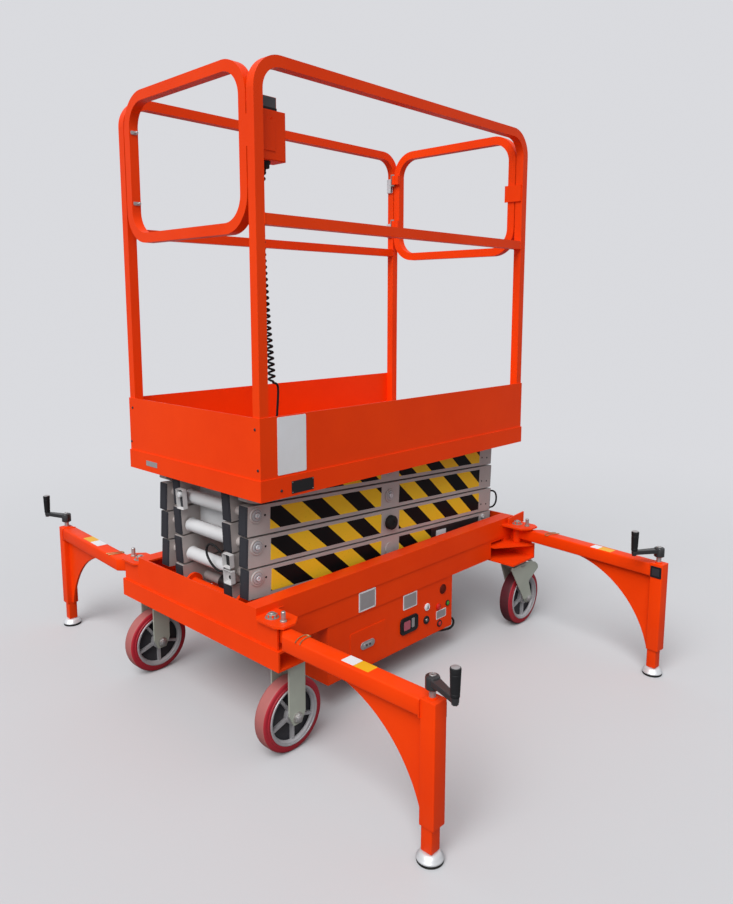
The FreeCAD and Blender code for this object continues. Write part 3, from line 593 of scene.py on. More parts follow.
def makeFloor():
    # the floor near the machine takes its shade and further out fades to the backdrop's colour
    dropSelection()
    bpy.ops.mesh.primitive_plane_add(size=studio["floorSize"])
    floor = bpy.context.active_object
    floor.name = "floor"
    finish, tree, shader, where = startFinish("paleFloor")
    cloud = addNode(tree, "ShaderNodeTexNoise", {"Vector": where["Object"], "Scale": 2.5, "Detail": 6.0})
    tone = blended(tree, scaled(tree, cloud.outputs[0], 0.12), rgb(studio["floorColour"]),
                   rgb([c * 0.9 for c in studio["floorColour"]]))
    path = tree.nodes.new("ShaderNodeLightPath").outputs
    low = rgb([c * studio["bounce"] for c in studio["floorColour"]])
    tree.links.new(blended(tree, path["Is Camera Ray"], low, tone), shader.inputs["Base Color"])
    shader.inputs["Roughness"].default_value = 0.55
    shader.inputs["Specular IOR Level"].default_value = 0.1
    far = addNode(tree, "ShaderNodeVectorMath", {0: where["Object"]}, operation="LENGTH")
    fade = addNode(tree, "ShaderNodeMapRange", {"Value": far.outputs["Value"], "From Min": studio["fadeStart"],
                                                "From Max": studio["fadeEnd"]}, interpolation_type="SMOOTHSTEP")
    seen = addNode(tree, "ShaderNodeMath", {0: fade.outputs[0], 1: path["Is Camera Ray"]}, operation="MULTIPLY")
    plain = addNode(tree, "ShaderNodeEmission", {"Color": rgb(studio["backColour"])})
    mixed = addNode(tree, "ShaderNodeMixShader", {0: seen.outputs[0], 1: shader.outputs[0], 2: plain.outputs[0]})
    tree.links.new(mixed.outputs[0], tree.nodes["Material Output"].inputs[0])
    painted(floor, finish)


def makeWorld():
    world = bpy.context.scene.world or bpy.data.worlds.new("studio")
    bpy.context.scene.world = world
    world.use_nodes = True
    tree = world.node_tree
    tree.nodes.clear()
    light = addNode(tree, "ShaderNodeBackground", {"Color": rgb(studio["skyColour"]), "Strength": studio["sky"]})
    seen = addNode(tree, "ShaderNodeBackground", {"Color": rgb(studio["backColour"]), "Strength": 1.0})
    path = tree.nodes.new("ShaderNodeLightPath").outputs
    choose = addNode(tree, "ShaderNodeMixShader", {0: path["Is Camera Ray"], 1: light.outputs[0], 2: seen.outputs[0]})
    out = tree.nodes.new("ShaderNodeOutputWorld")
    tree.links.new(choose.outputs[0], out.inputs[0])


def makeSun():
    dropSelection()
    bpy.ops.object.light_add(type="SUN", location=(0, 0, 4))
    sun = bpy.context.active_object
    sun.data.energy = studio["sun"]
    sun.data.angle = math.radians(studio["sunSoftness"])
    sun.rotation_mode = "QUATERNION"
    sun.rotation_quaternion = Vector(studio["sunFrom"]).to_track_quat("Z", "Y")


makeFloor()
makeWorld()
makeSun()
print("camera, floor and light placed")

# Curly cord from the control box down to the deck
cordLook = {"wire": 6.4, "turns": 35, "around": 6.6, "wider": 2.2, "perTurn": 12, "top": 1642.0, "low": 1062.0,
            "x": -568.0, "y": -284.0,
            "sway": ((0, 0), (-15, 15), (-14, 14), (-10, 10), (-9, 9), (-7, 7), (-5, 5), (-3, 3), (0, 0), (3, -3), (5, -5))}
# control points of the straight tail below the coil: offset in x and y from the coil's axis, drop below its end
tailPoints = ((16, -8, 2), (23, -8, 7), (26, -6, 24), (25, -5, 52), (22, -4, 92), (19, -2, 140),
              (17, -1, 190), (16, 0, 230), (16, 0, 258.9))


def routePoints(points):
    guide = splineCurve("cordGuide", points)
    bpy.context.view_layer.update()
    mesh = bpy.data.meshes.new_from_object(guide.evaluated_get(bpy.context.evaluated_depsgraph_get()))
    found = [v.co.copy() for v in mesh.vertices]
    bpy.data.meshes.remove(mesh)
    forget(guide)
    return found


def makeCord():
    axisX, axisY = cordLook["x"], cordLook["y"]
    sway = cordLook["sway"]
    drop = (cordLook["low"] - cordLook["top"]) / (len(sway) - 1)
    core = routePoints([spot(axisX + x, axisY + y, cordLook["top"] + drop * n) for n, (x, y) in enumerate(sway)])
    count = cordLook["turns"] * cordLook["perTurn"]
    lead = 10
    first = 8
    k = 0
    line = [spot(axisX, axisY, cordLook["top"])]
    for n in range(first, count + 1):
        share = n / count
        level = core[0].z + (core[-1].z - core[0].z) * share
        while k < len(core) - 2 and core[k + 1].z > level:
            k += 1
        centre = core[k].lerp(core[k + 1], (core[k].z - level) / (core[k].z - core[k + 1].z))
        angle = 2 * math.pi * n / cordLook["perTurn"]
        around = (cordLook["around"] + cordLook["wider"] * share) * mm
        around *= min(1.0, (n - first + 2) / lead, (count - n + 3) / lead)
        line.append(centre + Vector((math.cos(angle) * around, math.sin(angle) * around, 0)))
    line += [spot(axisX + x, axisY + y, cordLook["low"] - drop) for x, y, drop in tailPoints]
    cord = splineCurve("curlyCord", line)
    cord.data.bevel_depth = cordLook["wire"] / 2 * mm
    cord.data.bevel_resolution = 3
    cord.data.use_fill_caps = True
    cord.data.materials.append(blackRubber)
    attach(cord, "platform")
    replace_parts(cord, "cord_coil", "cord_tail")
    return cord


makeCord()


arms = {"half": 582.0, "pitch": 95.0, "baseZ": 388.0, "height": 89.0, "offset": 16.2, "outerY": 230.0,
        "innerY": 150.0, "width": 40.0, "end": 32.0, "levels": 4}
armTilt = math.atan2(arms["pitch"] - 2 * arms["offset"], 2 * arms["half"])


def onArm(level, falls, side=-1):
    # frame of one bar: x along it, z up across it, y outward from the middle of the machine
    middle = arms["baseZ"] + (level - 0.5) * arms["pitch"]
    turn = Matrix.Rotation(falls * armTilt, 4, "Y")
    return machine @ Matrix.Translation((0, 0, middle)) @ turn @ Matrix.Scale(-side, 4, (0, 1, 0)) \
        @ Matrix.Scale(-1, 4, (0, 1, 0))


bandLook = {"from": -33.0, "to": 34.0, "thick": 0.5, "leftStart": -531.0, "leftEnd": -43.0,
            "rightStart": 50.0, "rightEnd": 535.0}
# where a black band starts at the top edge, left half and right half of each level
bandStarts = {1: (-525.0, -146.0), 2: (-551.0, 67.0), 3: (-575.0, -37.0), 4: (-556.0, -20.0)}
plainPlate = {"level": 1, "from": 232.0, "labelFrom": 262.0, "labelTo": 322.0}


def bandStrip(name, level, side, start, end, phase):
    strip = slab((start, arms["outerY"], bandLook["from"]), (end, arms["outerY"] + bandLook["thick"], bandLook["to"]),
                 edge=0.2, segments=1)
    while strip.data.uv_layers:
        strip.data.uv_layers.remove(strip.data.uv_layers[0])
    sheetMap = strip.data.uv_layers.new(name="bands")
    for loop in strip.data.loops:
        point = strip.data.vertices[loop.vertex_index].co
        sheetMap.data[loop.index].uv = ((point.x - phase) * mm, (point.z - bandLook["to"]) * mm)
    painted(strip, hazardFilm)
    return settle(strip, name, "outer_" + str(level), onArm(level, 1, side))


def makeBands():
    for level in range(1, arms["levels"] + 1):
        for side, label in ((-1, "right"), (1, "left")):
            left, right = bandStarts[level]
            end = plainPlate["from"] if level == plainPlate["level"] else bandLook["rightEnd"]
            bandStrip("bands_" + label + "_" + str(level) + "_rear", level, side,
                      bandLook["leftStart"], bandLook["leftEnd"], left)
            bandStrip("bands_" + label + "_" + str(level) + "_front", level, side,
                      bandLook["rightStart"], end, right)


def makePlainPlate():
    for side, label in ((-1, "right"), (1, "left")):
        face = arms["outerY"]
        black = painted(slab((plainPlate["from"], face, bandLook["from"]),
                             (bandLook["rightEnd"], face + 0.5, bandLook["to"]), 0.2, 1), blackPaint)
        white = painted(slab((plainPlate["labelFrom"], face + 0.5, -20), (plainPlate["labelTo"], face + 0.8, 20),
                             0.2, 1), whiteFilm)
        settle(joined([black, white]), "plain_plate_" + label, "outer_1", onArm(1, 1, side))


armPlug = {"thick": 3.0, "round": 2.5, "inset": 5.0, "tongue": 1.0}


def makeArmPlugs():
    # moulded plugs over the ends of the box-section arms
    width, height = arms["width"] - 0.6, arms["height"] - 0.6
    inset = 2 * armPlug["inset"]
    cap = cutSheet(roundedOutline(width, height, armPlug["round"]), armPlug["thick"], 1.0)
    rim = cutSheet(roundedOutline(width - inset, height - inset, armPlug["round"]), armPlug["thick"] + armPlug["tongue"], 0.6)
    plug = painted(joined([cap, rim]), charcoal)
    tip = arms["half"] + arms["end"]
    for level in range(1, arms["levels"] + 1):
        for kind, falls, out in (("outer", 1, arms["outerY"]), ("inner", -1, arms["innerY"])):
            places = [within(onArm(level, falls, side), (end * tip, out - arms["width"] / 2, 0), (end, 0, 0))
                      for end in (-1, 1) if level < arms["levels"] or end == falls for side in (-1, 1)]
            stamp(plug, places, kind + "_plugs_" + str(level), kind + "_" + str(level))
    forget(plug)


pinHead = {"proud": 3.0, "flange": 24.0, "ring": 17.0, "screw": 8.0, "dot": 3.4, "dotIn": (551.0, 13.0),
           "farDots": ((552.0, -14.0), (586.0, -17.0))}


def makePinHeads():
    # stepped flange, bearing ring and a socket screw over each pin's end, with a charcoal ring between flange and
    # bearing painted as the shade in the groove
    base = pinHead["proud"]
    flange, ring, screw = pinHead["flange"], pinHead["ring"], pinHead["screw"]
    collar = painted(turned([(flange, 0.2), (flange, 2.4), (flange - 1.4, base + 0.7), (ring + 1.8, base + 0.7)], 40), armPaint)
    grooveShade = painted(turned([(ring + 0.9, base - 0.2), (ring + 0.8, base + 0.8), (ring - 0.1, base + 0.8)], 40), charcoal)
    bearing = painted(turned([(ring, base), (ring, base + 1.4), (ring - 1.4, base + 2.4), (screw + 2, base + 2.4),
                              (screw + 1, base + 0.6)], 40), castHub)
    head = painted(turned([(screw, base), (screw, base + 4.2), (screw - 0.9, base + 5), (4.2, base + 5),
                           (3.8, base + 1.4)], 24), footMetal)
    boss = joined([collar, grooveShade, bearing, head])
    half, pitch = arms["half"], arms["pitch"]
    for level in range(1, arms["levels"] + 1):
        low = arms["baseZ"] + (level - 1) * pitch
        spots = [(0, low + pitch / 2)] if level > 2 else []
        if level < arms["levels"]:
            spots.append((-half, low + pitch))
        places = [onMachine((x, side * arms["outerY"], z), (0, side, 0)) for x, z in spots for side in (-1, 1)]
        stamp(boss, places, "pin_heads_" + str(level), "outer_" + str(level))
    forget(boss)


def makeArmDots():
    # small blind plugs beside the pins
    dot = painted(turned([(pinHead["dot"], -0.5), (pinHead["dot"], 0.5), (pinHead["dot"] - 0.8, 0.9)], 14), blackPlastic)
    alongIn, upIn = pinHead["dotIn"]
    for level in range(1, arms["levels"] + 1):
        spots = [(-alongIn, upIn)] + list(pinHead["farDots"])
        places = [within(onArm(level, 1, side), (s, arms["outerY"], t), (0, 1, 0)) for s, t in spots for side in (-1, 1)]
        stamp(dot, places, "arm_dots_" + str(level), "outer_" + str(level))
    forget(dot)


armKnob = {"radius": 25.0, "long": 20.0, "bossAt": (560.0, 31.0), "bossRadius": 9.0}


def makeKnobs():
    # rubber stop over the centre pin of the second level and a pale boss near the end of the first
    r, long = armKnob["radius"], armKnob["long"]
    knob = painted(turned([(r - 2, 0), (r, 2), (r, long - 5), (r - 2, long - 1.5), (r - 5, long), (9, long),
                           (8, long - 3)], 36), blackRubber)
    z = arms["baseZ"] + 1.5 * arms["pitch"]
    stamp(knob, [onMachine((0, side * arms["outerY"], z), (0, side, 0)) for side in (-1, 1)],
          "centre_stops", "outer_2")
    br = armKnob["bossRadius"]
    boss = painted(turned([(br, 0), (br, 4), (br - 1.2, 5.4), (4, 5.4), (3.6, 3.5)], 24), whiteTube)
    s, t = armKnob["bossAt"]
    stamp(boss, [within(onArm(1, 1, side), (s, arms["outerY"], t), (0, 1, 0)) for side in (-1, 1)],
          "end_bosses", "outer_1")
    forget(knob, boss)


tubes = {"radius": 21.0, "reach": 103.0, "bead": 2.2}


def makeTubeSleeves():
    # pale round tubes across the scissor at the ends, with a weld bead at each arm
    r, reach = tubes["radius"], tubes["reach"]
    sleeve = painted(turned([(r - 1.2, -reach), (r, 1.2 - reach), (r, reach - 1.2), (r - 1.2, reach)], 40), whiteTube)
    ring = spun([(r + 2 * tubes["bead"] * math.cos(a) / 2, tubes["bead"] * math.sin(a))
                 for a in [math.pi * n / 3 for n in range(6)]], 40)
    painted(ring, whiteTube)
    half, pitch = arms["half"], arms["pitch"]
    for level in range(1, arms["levels"] + 1):
        low = arms["baseZ"] + (level - 1) * pitch
        spots = ([(-half, low + pitch)] if level < arms["levels"] else []) + ([(half, low)] if level > 1 else [])
        name, body = "cross_tube_" + str(level), "outer_" + str(level)
        stamp(sleeve, [onMachine((x, 0, z), (0, 1, 0)) for x, z in spots], name, body)
        stamp(ring, [onMachine((x, side * reach, z), (0, 1, 0)) for x, z in spots for side in (-1, 1)],
              name + "_beads", body)
    forget(sleeve, ring)


crossPlate = {"x": -545.0, "half": 104.0, "low": 584.0, "high": 633.0}


def makeCrossPlates():
    # pale skin on the flat crosspiece between the inner arms of the two upper levels
    for level in (3, 4):
        lift = (level - 3) * arms["pitch"]
        sheet = slab((crossPlate["x"] - 1.4, -crossPlate["half"], crossPlate["low"] + lift),
                     (crossPlate["x"] - 0.1, crossPlate["half"], crossPlate["high"] + lift), 0.6, 2)
        settle(painted(sheet, whiteTube), "cross_plate_" + str(level), "inner_" + str(level), machine)


makeBands()
makePlainPlate()
makeCrossPlates()
makeArmPlugs()
makePinHeads()
makeArmDots()
makeKnobs()
makeTubeSleeves()
print("scissor arms dressed")


def weld(line, radius=2.0, pace=3.5):
    # weld bead along straight runs, its ripples made by swells of the bead
    points = []
    for a, b in zip(line, line[1:]):
        steps = max(2, round((Vector(b) - Vector(a)).length / pace))
        points += [Vector(a).lerp(Vector(b), n / steps) for n in range(steps)]
    points.append(Vector(line[-1]))
    swells = [1.0 if n % 2 else 0.74 for n in range(len(points))]
    return painted(pipeRun(points, radius, "POLY", 1, swells), orangePaint)


def weldRing(centre, toward, wide, high, radius=2.0):
    turn, at = aimed(centre, toward)
    here = Matrix.Translation(at) @ turn
    return weld([here @ Vector((x, y, 0)) for x, y in
                 ((wide, high), (-wide, high), (-wide, -high), (wide, -high), (wide, high))], radius)


def hexHead(radius, high, finish):
    # washer, six-sided head with eased corners and a stub of thread
    washer = painted(turned([(radius * 1.3, 0), (radius * 1.3, 1.2), (radius * 1.22, 1.6)], 24), zinc)
    head = painted(turned([(radius, 1.4), (radius, high - 1.2), (radius * 0.9, high)], 6), finish)
    stub = painted(turned([(radius * 0.5, high), (radius * 0.5, high + 1.6), (radius * 0.4, high + 2.2)], 16), finish)
    return joined([washer, head, stub])


def roundScrew(radius, finish):
    # low round head with a hex socket
    return painted(turned([(radius, 0), (radius, radius * 0.2), (radius * 0.88, radius * 0.45),
                           (radius * 0.62, radius * 0.6), (radius * 0.45, radius * 0.62),
                           (radius * 0.4, radius * 0.25)], 20), finish)


def plateOf(wide, high, radius, thick, finish, rivet=0.0, border=0.0):
    # flat plate standing on local z, with a pale border or a rivet at each corner where it has them
    parts = [painted(cutSheet(roundedOutline(wide, high, radius), thick, min(0.3, thick / 3)),
                     whiteFilm if border else finish)]
    if border:
        field = cutSheet(roundedOutline(wide - 2 * border, high - 2 * border, radius), thick + 0.2, 0.1)
        parts.append(painted(field, finish))
    for sx in (-1, 1) if rivet else ():
        for sy in (-1, 1):
            head = roundScrew(rivet, zinc)
            head.data.transform(Matrix.Translation((sx * (wide / 2 - 2.2 * rivet), sy * (high / 2 - 2.2 * rivet), thick)))
            parts.append(head)
    return joined(parts)


platform = {"skirtX": 653.0, "skirtY": 343.0, "deckX": 650.0, "deckY": 340.0, "deckTop": 803.0, "post": 647.0,
            "tube": 30.0, "sheet": 3.0, "midLow": 1485.0, "loopY": 303.0, "loopLow": 1465.0, "loopTop": 1912.0}
lozenge = {"long": 12.5, "wide": 3.6, "high": 1.3, "pitch": 27.0, "toX": 600.0, "toY": 296.0}


def makeDeckTread():
    # raised lozenges of the chequered floor sheet, each turned across its neighbours
    mark = painted(turned([(1.0, -0.3), (0.86, 0.65), (0.4, 1.0)], 8), orangePaint)
    pitch = lozenge["pitch"]
    across, down = int(2 * lozenge["toX"] / pitch), int(2 * lozenge["toY"] / pitch)
    places = []
    for i in range(across + 1):
        for j in range(down + 1):
            at = Matrix.Translation(((i - across / 2) * pitch, (j - down / 2) * pitch, platform["deckTop"]))
            lean = Matrix.Rotation(math.radians(45 if (i + j) % 2 else -45), 4, "Z")
            places.append(machine @ at @ lean @ Matrix.Diagonal((lozenge["long"], lozenge["wide"], lozenge["high"], 1)))
    stamp(mark, places, "deck_tread", "platform")
    forget(mark)


# what each plate on the platform is: width, height, corner, thickness, rivet, place, outward direction
platformPlates = (
    ("toe_board_sign", whiteFilm, 106.0, 163.0, 4.0, 0.8, 0.0, (-537.0, -340.0, 890.5), (0, -1, 0)),
    ("skirt_plate_right", blackPlastic, 84.0, 36.0, 2.0, 1.0, 1.6, (-501.0, -343.0, 768.0), (0, -1, 0)),
    ("skirt_plate_rear", greyPlate, 65.0, 17.0, 1.5, 0.8, 1.3, (-653.0, 210.0, 770.5), (-1, 0, 0)))


def makePlatformPlates():
    for name, finish, wide, high, radius, thick, rivet, at, toward in platformPlates:
        settle(plateOf(wide, high, radius, thick, finish, rivet), name, "platform",
               onMachine(at, toward))


toeScrews = {"radius": 4.0, "spots": ((-319.0, 943.0), (-329.0, 831.0), (333.0, 830.0), (319.0, 943.0))}


def makeToeScrews():
    screw = roundScrew(toeScrews["radius"], charcoal)
    places = [onMachine((-platform["deckX"], y, z), (-1, 0, 0)) for y, z in toeScrews["spots"]]
    places.append(onMachine((-580.0, -platform["skirtY"], 765.0), (0, -1, 0)))
    stamp(screw, places, "toe_board_screws", "platform")
    forget(screw)


def makePlatformWelds():
    # beads round the posts' feet, the middle rails and the clips of the rear loop
    half, post, tube = platform["tube"] / 2, platform["post"], platform["tube"]
    side = platform["deckY"] - platform["sheet"] - half
    beads = []
    for sx in (-1, 1):
        for sy in (-1, 1):
            beads.append(weldRing((sx * (post - half), sy * side, platform["deckTop"] + 0.5), (0, 0, 1), half, half))
            beads.append(weldRing((sx * (post - tube), sy * side, platform["midLow"] + half), (sx, 0, 0), half, half))
    for sy in (-1, 1):
        for z in (platform["loopLow"] + 123, platform["loopTop"] - 110):
            for x in (-post + 3, -post + tube - 3):
                beads.append(weld([(x, sy * 305.0, z - 12), (x, sy * 305.0, z + 12)], 1.6))
    corner = platform["deckY"] - 1.0
    for sy in (-1, 1):
        beads.append(weld([(-platform["deckX"] + 1.0, sy * corner, platform["deckTop"] + 4),
                           (-platform["deckX"] + 1.0, sy * corner, 972.0)], 1.4, 5.0))
    settle(joined(beads), "platform_welds", "platform", machine)


loopHooks = {"wide": 22.0, "high": 11.0, "thick": 2.6, "heights": (1800.0, 1588.0)}


def makeLoopHooks():
    # plated clips with a short pin, on the inner face of the rear loop's left upright
    clip = plateOf(loopHooks["wide"], loopHooks["high"], 3.0, loopHooks["thick"], steel)
    pin = painted(turned([(3.4, 2), (3.4, 9), (4.6, 9.4), (4.6, 12), (3.6, 13)], 20), steel)
    pin.data.transform(Matrix.Translation((5.0, 0, 0)))
    hook = joined([clip, pin])
    middle = -platform["post"] + platform["tube"] / 2
    places = [onMachine((middle, platform["loopY"] - platform["tube"], z), (0, -1, 0)) for z in loopHooks["heights"]]
    stamp(hook, places, "loop_clips", "platform")
    forget(hook)


hingeCover = {"low": (610.0, 308.5, 0.0), "high": (616.8, 338.0, 58.0), "heights": (1752.0, 1565.0), "slot": 7.0}


def makeHingeCovers():
    # bright folded leaves of the gate's hinges on their post, each with a charcoal strip painted as the shade in its
    # fold
    low, high, slot = hingeCover["low"], hingeCover["high"], hingeCover["slot"]
    leaf = painted(slab(low, high, 1.6, 3), footMetal)
    foldShade = painted(slab((low[0] - 0.8, low[1] + 0.5, low[2] + 2), (low[0] + 1, low[1] + slot, high[2] - 2), 0.4, 1), charcoal)
    whole = joined([leaf, foldShade])
    stamp(whole, [machine @ Matrix.Translation((0, 0, z)) for z in hingeCover["heights"]], "gate_hinge_leaves",
          "platform")
    forget(whole)


controlBox = {"low": (-612.0, -303.0, 1657.0), "high": (-514.0, -250.0, 1785.0), "capLow": (-592.8, -295.8, 1785.0),
              "capHigh": (-537.2, -254.2, 1822.0), "gland": (-568.0, -284.0), "lid": 1.6, "screw": (-563.0, 1765.0)}


def makeControlBox():
    low, high = controlBox["low"], controlBox["high"]
    wide, tall = high[0] - low[0] - 3, high[2] - low[2] - 3
    middle = ((low[0] + high[0]) / 2, low[1], (low[2] + high[2]) / 2)
    lid = painted(cutSheet(roundedOutline(wide, tall, 6), controlBox["lid"], 0.7), orangePaint)
    settle(lid, "control_box_lid", "platform", onMachine(middle, (0, -1, 0)))
    screw = roundScrew(3.0, orangePaint)
    x, z = controlBox["screw"]
    stamp(screw, [onMachine((x, low[1] - controlBox["lid"], z), (0, -1, 0))], "control_box_screw", "platform")
    capLow, capHigh = controlBox["capLow"], controlBox["capHigh"]
    block = painted(slab(capLow, capHigh, 4.0, 3), greyPlastic)
    band = painted(slab((capLow[0] - 0.8, capLow[1] - 0.8, capLow[2]), (capHigh[0] + 0.8, capHigh[1] + 0.8, capLow[2] + 9),
                        1.5, 2), blackPlastic)
    settle(joined([block, band]), "emergency_cap", "platform", machine)
    gx, gy = controlBox["gland"]
    nut = painted(turned([(13.0, 0), (13.0, 8.5), (12.0, 9.5)], 6), blackPlastic)
    dome = painted(turned([(10.2, 9), (10.2, 17), (9.4, 19.4), (6.5, 20.2), (4.2, 20.4), (4.0, 17)], 24), blackPlastic)
    settle(joined([nut, dome]), "cord_gland", "platform", onMachine((gx, gy, low[2]), (0, 0, -1), (0, 1, 0)))
    forget(screw)


cabinet = {"face": -309.0, "web": -312.0, "side": 262.0}
# width, height, corner, thickness, rivet, border, middle x, middle z, face
cabinetPlates = (
    ("cabinet_door", orangePaint, 171.0, 127.0, 6.0, 1.6, 0.0, 0.0, -190.5, 168.5, "face"),
    ("rail_plate", greyPlate, 80.0, 66.0, 3.0, 1.0, 2.0, 5.0, -199.0, 328.0, "web"),
    ("cabinet_plate", greyPlate, 74.0, 54.0, 3.0, 1.0, 0.0, 4.0, 21.0, 260.0, "face"),
    ("switch_label", greyPlate, 58.0, 32.0, 2.0, 0.6, 0.0, 3.0, 198.0, 158.0, "face"))


def makeCabinetPlates():
    for name, finish, wide, high, radius, thick, rivet, border, x, z, face in cabinetPlates:
        settle(plateOf(wide, high, radius, thick, finish, rivet, border), name, "root",
               onMachine((x, cabinet[face], z), (0, -1, 0)))


doorLatch = {"at": (-197.0, 175.0), "wide": 66.0, "high": 26.0, "thick": 3.2, "dots": (-8.0, 7.0)}


def makeDoorLatch():
    # flush slam latch: oval plate, paddle and two dark screws
    wide, high, thick = doorLatch["wide"], doorLatch["high"], doorLatch["thick"]
    plate = painted(cutSheet(roundedOutline(wide, high, high / 2 - 0.2, 8), thick, 1.0), greyPlate)
    paddle = painted(cutSheet(roundedOutline(wide * 0.62, high * 0.56, 5), thick + 2.2, 1.2), greyPlate)
    parts = [plate, paddle]
    for x in doorLatch["dots"]:
        dot = painted(turned([(3.6, thick + 1), (3.6, thick + 2.9), (2.9, thick + 3.3)], 14), blackPlastic)
        dot.data.transform(Matrix.Translation((x, 0, 0)))
        parts.append(dot)
    x, z = doorLatch["at"]
    settle(joined(parts), "door_latch", "root", onMachine((x, cabinet["face"] - 1.6, z), (0, -1, 0)))


gauge = {"at": (14.0, 176.0), "wide": 93.0, "high": 60.0, "round": 15.0, "thick": 7.0, "wall": 10.0}


def makeGauge():
    # charge display: rounded bezel round a sunk window with a dim dial and a pale scale beside it
    wide, high, thick, wall = gauge["wide"], gauge["high"], gauge["thick"], gauge["wall"]
    bezel = painted(cutSheet(roundedOutline(wide, high, gauge["round"], 8), thick, 0), blackPlastic)
    top = thick - 0.01
    selectFaces(bezel, lambda face: face.normal.z > 0.9 and face.center.z > top)
    bpy.ops.mesh.inset(thickness=wall)
    bpy.ops.transform.translate(value=(0, 0, -3.0))
    bpy.ops.object.mode_set(mode="OBJECT")
    softened(bezel, 1.6, 3)
    deep = thick - 3.0
    dial = painted(cutSheet(roundedOutline(34, 32, 5), 0.8, 0.2), gaugeGlass)
    dial.data.transform(Matrix.Translation((-12, -1, deep)))
    scale = painted(cutSheet(roundedOutline(15, 34, 3), 0.8, 0.2), greyPlate)
    scale.data.transform(Matrix.Translation((20, 1, deep)))
    x, z = gauge["at"]
    settle(joined([bezel, dial, scale]), "charge_gauge", "root",
           onMachine((x, cabinet["face"], z), (0, -1, 0)))


# round fittings on the cabinet: middle x, z, outer radius, inner radius, height, ring and centre finishes
cabinetRounds = (
    ("charge_socket", 115.5, 208.0, 14.0, 10.0, 3.5, whiteFilm, whiteFilm),
    ("key_switch", 111.0, 161.0, 15.0, 7.0, 5.0, blackPlastic, steel),
    ("red_lamp", 180.0, 190.0, 12.0, 10.0, 5.0, redLens, redLens),
    ("green_lamp", 234.0, 189.0, 10.5, 8.5, 5.0, blackPlastic, greenLens),
    ("vent_plug", 206.0, 250.0, 18.0, 13.0, 3.0, ventRedAndPaintedShade, ventRedAndPaintedShade),
    ("power_socket", 188.0, 124.0, 13.0, 9.0, 4.0, blackPlastic, redLens))


def makeCabinetRounds():
    for name, x, z, outer, inner, high, ringFinish, middleFinish in cabinetRounds:
        ring = painted(turned([(outer, 0), (outer, high - 1.4), (outer - 1.4, high), (inner + 0.8, high),
                               (inner, high - 1.6)], 32), ringFinish)
        middle = painted(turned([(inner - 0.4, high - 2), (inner - 0.8, high - 0.4), (inner * 0.72, high + 0.8),
                                 (inner * 0.3, high + 1.2)], 28), middleFinish)
        settle(joined([ring, middle]), name, "root", onMachine((x, cabinet["face"], z), (0, -1, 0)))
    # black slabs painted as the shade inside the charge socket's opening and the key switch's slot
    slots = [painted(slab((-w / 2, -h / 2, 0), (w / 2, h / 2, 1.4), 0.3, 1), blackPlastic) for w, h in ((4.5, 13.0), (2.2, 8.0))]
    for slot, (row, lift) in zip(slots, ((0, 3.8), (1, 5.4))):
        x, z = cabinetRounds[row][1:3]
        settle(slot, cabinetRounds[row][0] + "_slot", "root",
               onMachine((x, cabinet["face"] - lift + 0.3, z), (0, -1, 0)))


# control points of the clipped cable from under the cabinet round its corner
sideCable = {"radius": 4.2, "points": ((192, -292, 100), (194, -293, 90), (215, -298, 84), (240, -300, 80),
                                       (268, -301, 77), (286, -300, 84), (290, -299, 98), (281, -298, 112),
                                       (266, -296, 118), (258, -296, 118))}


def makeSideCable():
    hose = painted(pipeRun([Vector(p) for p in sideCable["points"]], sideCable["radius"], "NURBS", 4), blackRubber)
    collar = painted(turned([(8, -2), (8, 7), (6.6, 9), (4.6, 9)], 20), blackPlastic)
    low = collar.copy()
    low.data = collar.data.copy()
    bpy.context.collection.objects.link(low)
    collar.data.transform(within(Matrix(), (cabinet["side"], -296, 118), (1, 0, 0)))
    low.data.transform(within(Matrix(), (192, -292, 95), (0, 0, -1), (0, 1, 0)))
    settle(joined([hose, collar, low]), "cabinet_cable", "root", machine)


# painted shade lines on both long sides, where overhanging edges shade the gaps: body, first and last x, y of the face,
# low and high edge
paintedShadeLines = (("root", -374.0, 262.0, -309.0, 288.6, 290.4), ("root", -650.0, 650.0, -315.0, 364.2, 365.8),
         ("platform", -649.0, 649.0, -340.0, 803.0, 804.8))


def makePaintedShadeLines():
    # painted shade: dark strips along the cabinet's top, the low edge of the rail's outer band and the foot of the toe
    # board, where the gaps under the overhangs fall in shade
    for n, (body, x0, x1, y, z0, z1) in enumerate(paintedShadeLines):
        strips = []
        for side in (-1, 1):
            edge = side * y
            strips.append(slab((x0, min(edge, edge - side * 0.6), z0), (x1, max(edge, edge - side * 0.6), z1), 0.2, 1))
        if body == "platform":
            x = -platform["deckX"]
            strips.append(slab((x - 0.6, y, z0), (x, -y, z1), 0.2, 1))
        settle(painted(joined(strips), ventRedAndPaintedShade), "seam_" + str(n + 1), body, machine)


makeDeckTread()
makePlatformPlates()
makeToeScrews()
makePlatformWelds()
makeLoopHooks()
makeHingeCovers()
makeControlBox()
print("platform dressed")
makeCabinetPlates()
makeDoorLatch()
makeGauge()
makeCabinetRounds()
makeSideCable()
print("cabinet dressed")


corners = {"rear_right": (-1, -1, 0.0, -22.0), "front_right": (1, -1, 5.5, 118.0),
           "rear_left": (-1, 1, 3.8, -25.8), "front_left": (1, 1, 0.0, 118.0)}
outrigger = {"pivotX": 629.0, "pivotY": 352.0, "legX": -20.5, "legY": -586.0, "legHalf": 22.0, "legTop": 404.0,
             "beamTop": 402.0, "beamLow": 358.0, "gussetX": -18.0, "crankZ": 442.0, "crankArm": 96.0, "gripTop": 520.0, "footTop": 27.0}


